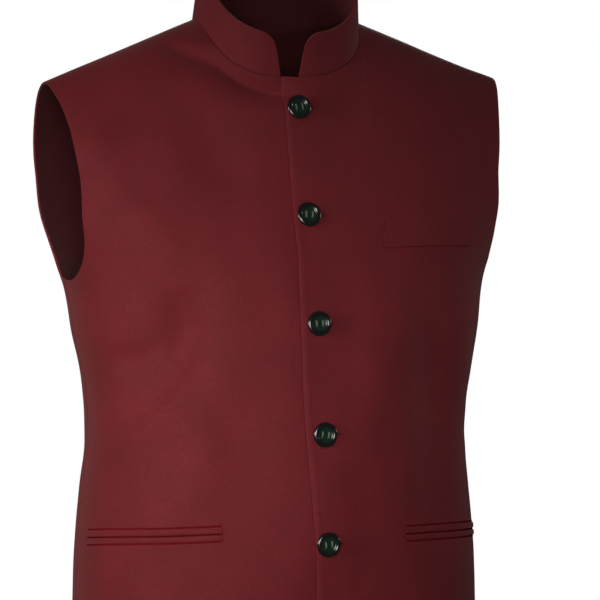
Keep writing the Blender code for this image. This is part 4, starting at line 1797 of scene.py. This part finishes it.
@dataclass(frozen=True)
class Buttons:
    """The buttons down the front, with their thread and their buttonholes."""

    buttonhole: Buttonhole = Buttonhole()
    first: float = 0.031
    pitch: float = 0.104
    asides: tuple[float, ...] = (-0.001, 0.0005, 0.004, 0.004, -0.002)
    spins: tuple[float, ...] = (7.0, -4.0, 2.0, -9.0, 5.0)
    radius: float = 0.0118
    sides: int = 64
    edge_angle: float = math.radians(40.0)
    hole_radius: float = 0.0011
    hole_aside: float = 0.0031
    hole_up: float = 0.0029
    hole_floor: float = 0.0018
    hole_top: float = 0.0060
    hole_sides: int = 16
    thread_low: float = 0.0024
    thread_arch: float = 0.0018
    thread_reach: float = 1.12
    ply_aside: float = 0.00042
    ply_radius: float = 0.00045

    def places(
        self, pattern: Pattern, drape: Drape, dense: int = 2000
    ) -> Iterator[tuple[Array, Array, Array]]:
        """Where each button sits.

        Args:
            pattern: The pattern.
            drape: The drape.
            dense: The number of points down the front's centre line.

        Yields:
            The place, the point on the upper front and the normal there.
        """
        figure = pattern.figure
        start = pattern.neck_edge(Side.FRONT, 0.0, figure.neck_half)[0]
        z = np.linspace(figure.point(Side.FRONT, *start)[2], pattern.hem_z, dense)
        line = figure.at_point(Side.FRONT, figure.centre_line(z), z)
        points, _ = drape.lay("front_left", Side.FRONT, line)
        run = run_of(points)
        for number, aside in enumerate(self.asides):
            k = int(np.argmin(np.abs(run - self.first - number * self.pitch)))
            level = z[k : k + 1]
            x = figure.centre_line(level) + aside
            place = figure.at_point(Side.FRONT, x, level)
            point, normal = drape.lay("front_left", Side.FRONT, place)
            yield np.array([x[0], level[0]]), point[0], normal[0]

    def profile(self) -> list[tuple[float, float, Resin]]:
        """The button's half section, from the middle of its face round the rim to its shank.

        Returns:
            Radius, height over the cloth and material at each point.
        """
        rim = self.radius
        black, well = Resin
        return [
            (0.0000, 0.0034, well),
            (0.0030, 0.0034, well),
            (0.0060, 0.0035, well),
            (0.0068, 0.0037, well),
            (0.0074, 0.0042, black),
            (0.0082, 0.0047, black),
            (0.0091, 0.0049, black),
            (0.0100, 0.0048, black),
            (0.0109, 0.0044, black),
            (rim - 0.0002, 0.0038, black),
            (rim, 0.0032, black),
            (rim - 0.0002, 0.0026, black),
            (rim - 0.0010, 0.0020, black),
            (rim - 0.0030, 0.0017, black),
            (0.0030, 0.0015, black),
            (0.0016, 0.0013, black),
            (0.0015, 0.0004, black),
            (0.0000, 0.0002, black),
        ]

    def body(self, finishes: Finishes) -> bpy.types.Mesh:
        """The buttons' shared mesh, with four holes sunk in its face.

        Args:
            finishes: The materials.

        Returns:
            The mesh, around its own axis.
        """
        steps = self.sides
        turn = np.linspace(0.0, 2 * math.pi, steps, endpoint=False)
        profile = self.profile()
        rings = [
            np.stack([r * np.cos(turn), r * np.sin(turn), np.full(steps, h)], axis=-1)
            for r, h, _ in profile[1:-1]
        ]
        middles = [[0.0, 0.0, profile[end][1]] for end in (0, -1)]
        face_middle = len(rings) * steps
        last = face_middle - steps
        faces = grid_faces(len(rings), steps, closed=True)
        slots = [int(profile[1 + k // steps][2]) for k in range(len(faces))]
        for k in range(steps):
            after = (k + 1) % steps
            faces += [(face_middle, k, after), (face_middle + 1, last + after, last + k)]
            slots += [int(profile[0][2]), int(profile[-1][2])]
        mesh = Mesh()
        mesh.add(np.concatenate([*rings, middles]), faces)
        mesh.slots = slots
        button = mesh.build("button_body", [finishes.resin, finishes.well])
        cutter = self.hole_cutter(finishes)
        cut = button.modifiers.new("holes", "BOOLEAN")
        cut.operation = "DIFFERENCE"
        cut.solver = "EXACT"
        cut.object = cutter
        graph = bpy.context.evaluated_depsgraph_get()
        shaped = bpy.data.meshes.new_from_object(button.evaluated_get(graph))
        shaped.name = "button_body"
        for spare in (button, cutter):
            bpy.data.objects.remove(spare, do_unlink=True)
        shaped.shade_smooth()
        shaped.set_sharp_from_angle(angle=self.edge_angle)
        return shaped

    def hole_centres(self) -> list[tuple[float, float]]:
        """The centres of the four holes on the button's face."""
        aside, up = self.hole_aside, self.hole_up
        return [(x, y) for x in (-aside, aside) for y in (-up, up)]

    def hole_cutter(self, finishes: Finishes) -> bpy.types.Object:
        """Four pins that sink the holes.

        Args:
            finishes: The materials.

        Returns:
            The cutting object.
        """
        mesh = Mesh()
        for x, y in self.hole_centres():
            path = np.array([[x, y, self.hole_floor], [x, y, self.hole_top]])
            mesh.add(*tube(path, np.full(2, self.hole_radius), self.hole_sides))
        return mesh.build("button_holes", [finishes.well])

    def thread(self, finishes: Finishes) -> bpy.types.Mesh:
        """The two bars of thread over the button's holes, and the shank under it.

        Args:
            finishes: The materials.

        Returns:
            The mesh.
        """
        mesh = Mesh()
        share = np.linspace(-1.0, 1.0, 11)
        arch = self.thread_low + self.thread_arch * (1 - share**4)
        up = self.hole_up * self.thread_reach * share
        for x in (-self.hole_aside, self.hole_aside):
            for ply in (-self.ply_aside, self.ply_aside):
                path = np.stack([np.full_like(share, x + ply), up, arch], axis=-1)
                mesh.add(*tube(path, np.full_like(share, self.ply_radius), 8))
        # The shank's height over the cloth and its radius there.
        shank = np.array([[-0.0012, 0.0019], [0.0004, 0.0017], [0.0014, 0.0015]])
        path = np.stack([0 * shank[:, 0], 0 * shank[:, 0], shank[:, 0]], axis=-1)
        mesh.add(*tube(path, shank[:, 1], 12))
        thread = mesh.build("button_thread", [finishes.button_thread])
        made = thread.data
        bpy.data.objects.remove(thread, do_unlink=True)
        return made

    def make(self, pattern: Pattern, drape: Drape, finishes: Finishes) -> None:
        """Makes the buttons and buttonholes.

        Args:
            pattern: The pattern.
            drape: The drape.
            finishes: The materials.
        """
        body = self.body(finishes)
        thread = self.thread(finishes)
        for number, (centre, point, normal) in enumerate(self.places(pattern, drape), start=1):
            tilt = math.atan2(normal[2], -normal[1])
            turn = Matrix.Rotation(math.pi / 2 - tilt, 4, "X")
            seat = Matrix.Translation(Vector(point + 2 * drape.cloth.seam_gap * normal)) @ turn
            spin = Matrix.Rotation(math.radians(self.spins[number - 1]), 4, "Z")
            button = bpy.data.objects.new(f"button_{number}_resin", body.copy())
            sewn = bpy.data.objects.new(f"button_{number}_thread", thread.copy())
            for piece in (button, sewn):
                bpy.context.scene.collection.objects.link(piece)
                piece.data.transform(seat @ spin)
            stand_in(button, f"button_{number}")
            trim(sewn)
            self.buttonhole.make(drape, centre, number, finishes)


@dataclass(frozen=True)
class EdgeSewing:
    """The pick stitches along the left front's edge and a strip of painted shade in the gap under
    that edge.
    """

    inset: float = 0.0055
    stitching: Stitching = Stitching()
    shade_outer: float = -0.0005
    shade_inner: float = 0.0016
    # How many of the edge's points they leave out at the neck.
    stitches_from: int = 8
    shade_from: int = 10

    def make(self, pattern: Pattern, drape: Drape, finishes: Finishes) -> None:
        """Sews the front edge.

        Args:
            pattern: The pattern.
            drape: The drape.
            finishes: The materials.
        """
        edge, corner = pattern.front_edge(Hand.LEFT, inset=self.inset)
        places = joined(edge[self.stitches_from :], corner)
        stitches = self.stitching.row(*drape.lay("front_left", Side.FRONT, places))
        trim(stitches.build("front_edge_stitches", [finishes.seam_thread]))
        # A strip of painted shadow on the under front, just outside the upper front's edge.
        low, high = (share * drape.cloth.seam_gap for share in drape.cloth.ditch_faces)
        outer, inner = (
            drape.lay(
                "front_right",
                Side.FRONT,
                pattern.front_edge(Hand.LEFT, inset=inset)[0][self.shade_from :],
            )
            for inset in (self.shade_outer, self.shade_inner)
        )
        corners = ((outer, low), (outer, high), (inner, high), (inner, low))
        section = np.stack([laid + lift * out for (laid, out), lift in corners], axis=1)
        mesh = Mesh()
        mesh.add(section.reshape(-1, 3), bar_faces(*section.shape[:2]))
        trim(mesh.build("front_edge_shade", [finishes.ditch]))


class Jacket:
    """The whole jacket."""

    def __init__(self) -> None:
        """Lays out the pattern."""
        self.cloth = Cloth()
        self.figure = Figure()
        self.drape = Drape(self.figure, self.cloth)
        self.pattern = Pattern(self.figure, self.cloth)
        self.finishes = Finishes()
        pattern = self.pattern
        wide = pattern.front_neck_columns + 1
        start = pattern.shoulder_columns
        back_neck = slice(start, start + 2 * pattern.back_neck_columns + 1)
        left = pattern.front_grid(Hand.LEFT)
        right = mirrored(pattern.front_grid(Hand.RIGHT))
        back = pattern.back_grid()
        middle = back.shape[1] // 2
        panels = (
            Panel("front_left", Side.FRONT, left, 0, FRONT_CUT, slice(0, wide)),
            Panel("front_right", Side.FRONT, right, -1, FRONT_CUT, slice(-wide, None)),
            Panel("back", Side.BACK, back, middle, BACK_CUT, back_neck),
        )
        self.panels = {panel.name: panel for panel in panels}

    def make(self) -> None:
        """Makes every piece in order."""
        for panel in self.panels.values():
            piece = panel.make(self.drape, self.finishes)
            log.info("%s: %d faces", piece.name, len(piece.data.polygons))
        Collar().make(self.drape, self.panels, self.finishes)
        log.info("collar made")
        Pockets().make(self.drape, self.finishes)
        log.info("pockets made")
        Buttons().make(self.pattern, self.drape, self.finishes)
        log.info("buttons made")
        EdgeSewing().make(self.pattern, self.drape, self.finishes)
        log.info("sewing made")


# ---- the studio --------------------------------------------------------------------------------


class Lamp(NamedTuple):
    """A soft area lamp: where it stands, what it looks at, its size, spread, power and colour."""

    name: str
    place: tuple[float, float, float]
    target: tuple[float, float, float]
    size: float
    spread: float
    power: float
    colour: str


LAMPS = (
    #    name    place                  target                 size  spread  power  colour
    Lamp("key", (-0.61, -1.44, -0.16), (-0.17, 0.00, -0.38), 0.60, 38.0, 1.07, "FFF8F4"),
    Lamp("side", (-2.30, -0.95, 0.05), (-0.06, 0.00, -0.32), 0.60, 44.0, 1.58, "FFF8F4"),
    Lamp("fill", (2.20, -0.10, 0.10), (0.20, 0.00, -0.09), 0.50, 27.0, 0.14, "FFF8F4"),
    Lamp("rear", (0.90, 2.30, 0.40), (0.00, 0.00, -0.30), 1.00, 180.0, 34.0, "F4F6FF"),
)


@dataclass(frozen=True)
class Studio:
    """A plain pale floor and backdrop, soft lamps and the camera."""

    distance: float = 3.0
    azimuth: float = math.radians(-18.97)
    elevation: float = math.radians(3.24)
    roll: float = math.radians(-0.56)
    aim_across: float = 0.0242
    aim_height: float = -0.2434
    focal_pixels: float = 3082.2
    frame_pixels: float = 600.0
    sensor_width: float = 36.0
    floor_z: float = -0.86
    floor_radius: float = 1.7
    floor_sides: int = 96
    floor_finish: PaleVinyl = PaleVinyl("pale_floor", "F6F6F6")
    white: str = "FFFFFF"
    ambient: float = 0.070

    def camera(self) -> None:
        """Places the camera."""
        level = math.cos(self.elevation)
        out = Vector(
            (
                math.sin(self.azimuth) * level,
                -math.cos(self.azimuth) * level,
                math.sin(self.elevation),
            )
        )
        right = Vector((math.cos(self.azimuth), math.sin(self.azimuth), 0.0))
        up = out.cross(right)
        tilted = math.cos(self.roll) * right + math.sin(self.roll) * up
        upright = -math.sin(self.roll) * right + math.cos(self.roll) * up
        place = self.aim_across * right + Vector((0.0, 0.0, self.aim_height)) + self.distance * out
        data = bpy.data.cameras.new("camera")
        data.sensor_width = self.sensor_width
        data.lens = self.focal_pixels * self.sensor_width / self.frame_pixels
        camera = bpy.data.objects.new("camera", data)
        turn = Matrix((tilted, upright, out)).transposed().to_4x4()
        camera.matrix_world = Matrix.Translation(place) @ turn
        bpy.context.scene.collection.objects.link(camera)
        bpy.context.scene.camera = camera

    def lamps(self) -> None:
        """Hangs the lamps."""
        for lamp in LAMPS:
            data = bpy.data.lights.new(lamp.name, "AREA")
            data.size = lamp.size
            data.spread = math.radians(lamp.spread)
            data.energy = lamp.power
            data.color = linear(lamp.colour)[:3]
            light = bpy.data.objects.new(lamp.name, data)
            light.location = lamp.place
            light.visible_camera = False
            aim = Vector(lamp.target) - Vector(lamp.place)
            light.rotation_euler = aim.to_track_quat("-Z", "Y").to_euler()
            bpy.context.scene.collection.objects.link(light)

    def world(self) -> None:
        """Lights the room softly and shows it as plain white."""
        world = bpy.data.worlds.new("studio")
        world.use_nodes = True
        tree = world.node_tree
        white = linear(self.white)
        room = tree.nodes["Background"]
        put(tree, room.inputs["Color"], white)
        put(tree, room.inputs["Strength"], self.ambient)
        seen = add_node(tree, "ShaderNodeBackground", {"Color": white, "Strength": 1.0})
        path = add_node(tree, "ShaderNodeLightPath")
        mix = add_node(
            tree,
            "ShaderNodeMixShader",
            {0: path.outputs["Is Camera Ray"], 1: room.outputs[0], 2: seen.outputs[0]},
        )
        put(tree, tree.nodes["World Output"].inputs["Surface"], mix.outputs[0])
        bpy.context.scene.world = world

    def floor(self) -> None:
        """Lays a wide pale floor."""
        turn = np.linspace(0.0, 2 * math.pi, self.floor_sides, endpoint=False)
        across, along = self.floor_radius * np.cos(turn), self.floor_radius * np.sin(turn)
        rim = np.stack([across, along, np.full_like(turn, self.floor_z)], axis=-1)
        mesh = Mesh()
        mesh.add(rim, [tuple(range(self.floor_sides))])
        floor = mesh.build("floor", [self.floor_finish.make()])
        floor.visible_diffuse = False
        floor.visible_glossy = False

    def make(self) -> None:
        """Sets up the studio."""
        self.camera()
        self.lamps()
        self.world()
        self.floor()
        bpy.context.scene.view_settings.view_transform = "Standard"


def main() -> None:
    """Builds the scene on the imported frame."""
    logging.basicConfig(level=logging.INFO, format="%(name)s %(message)s")
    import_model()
    Jacket().make()
    Studio().make()
    log.info("studio made")


if __name__ == "__main__":
    main()
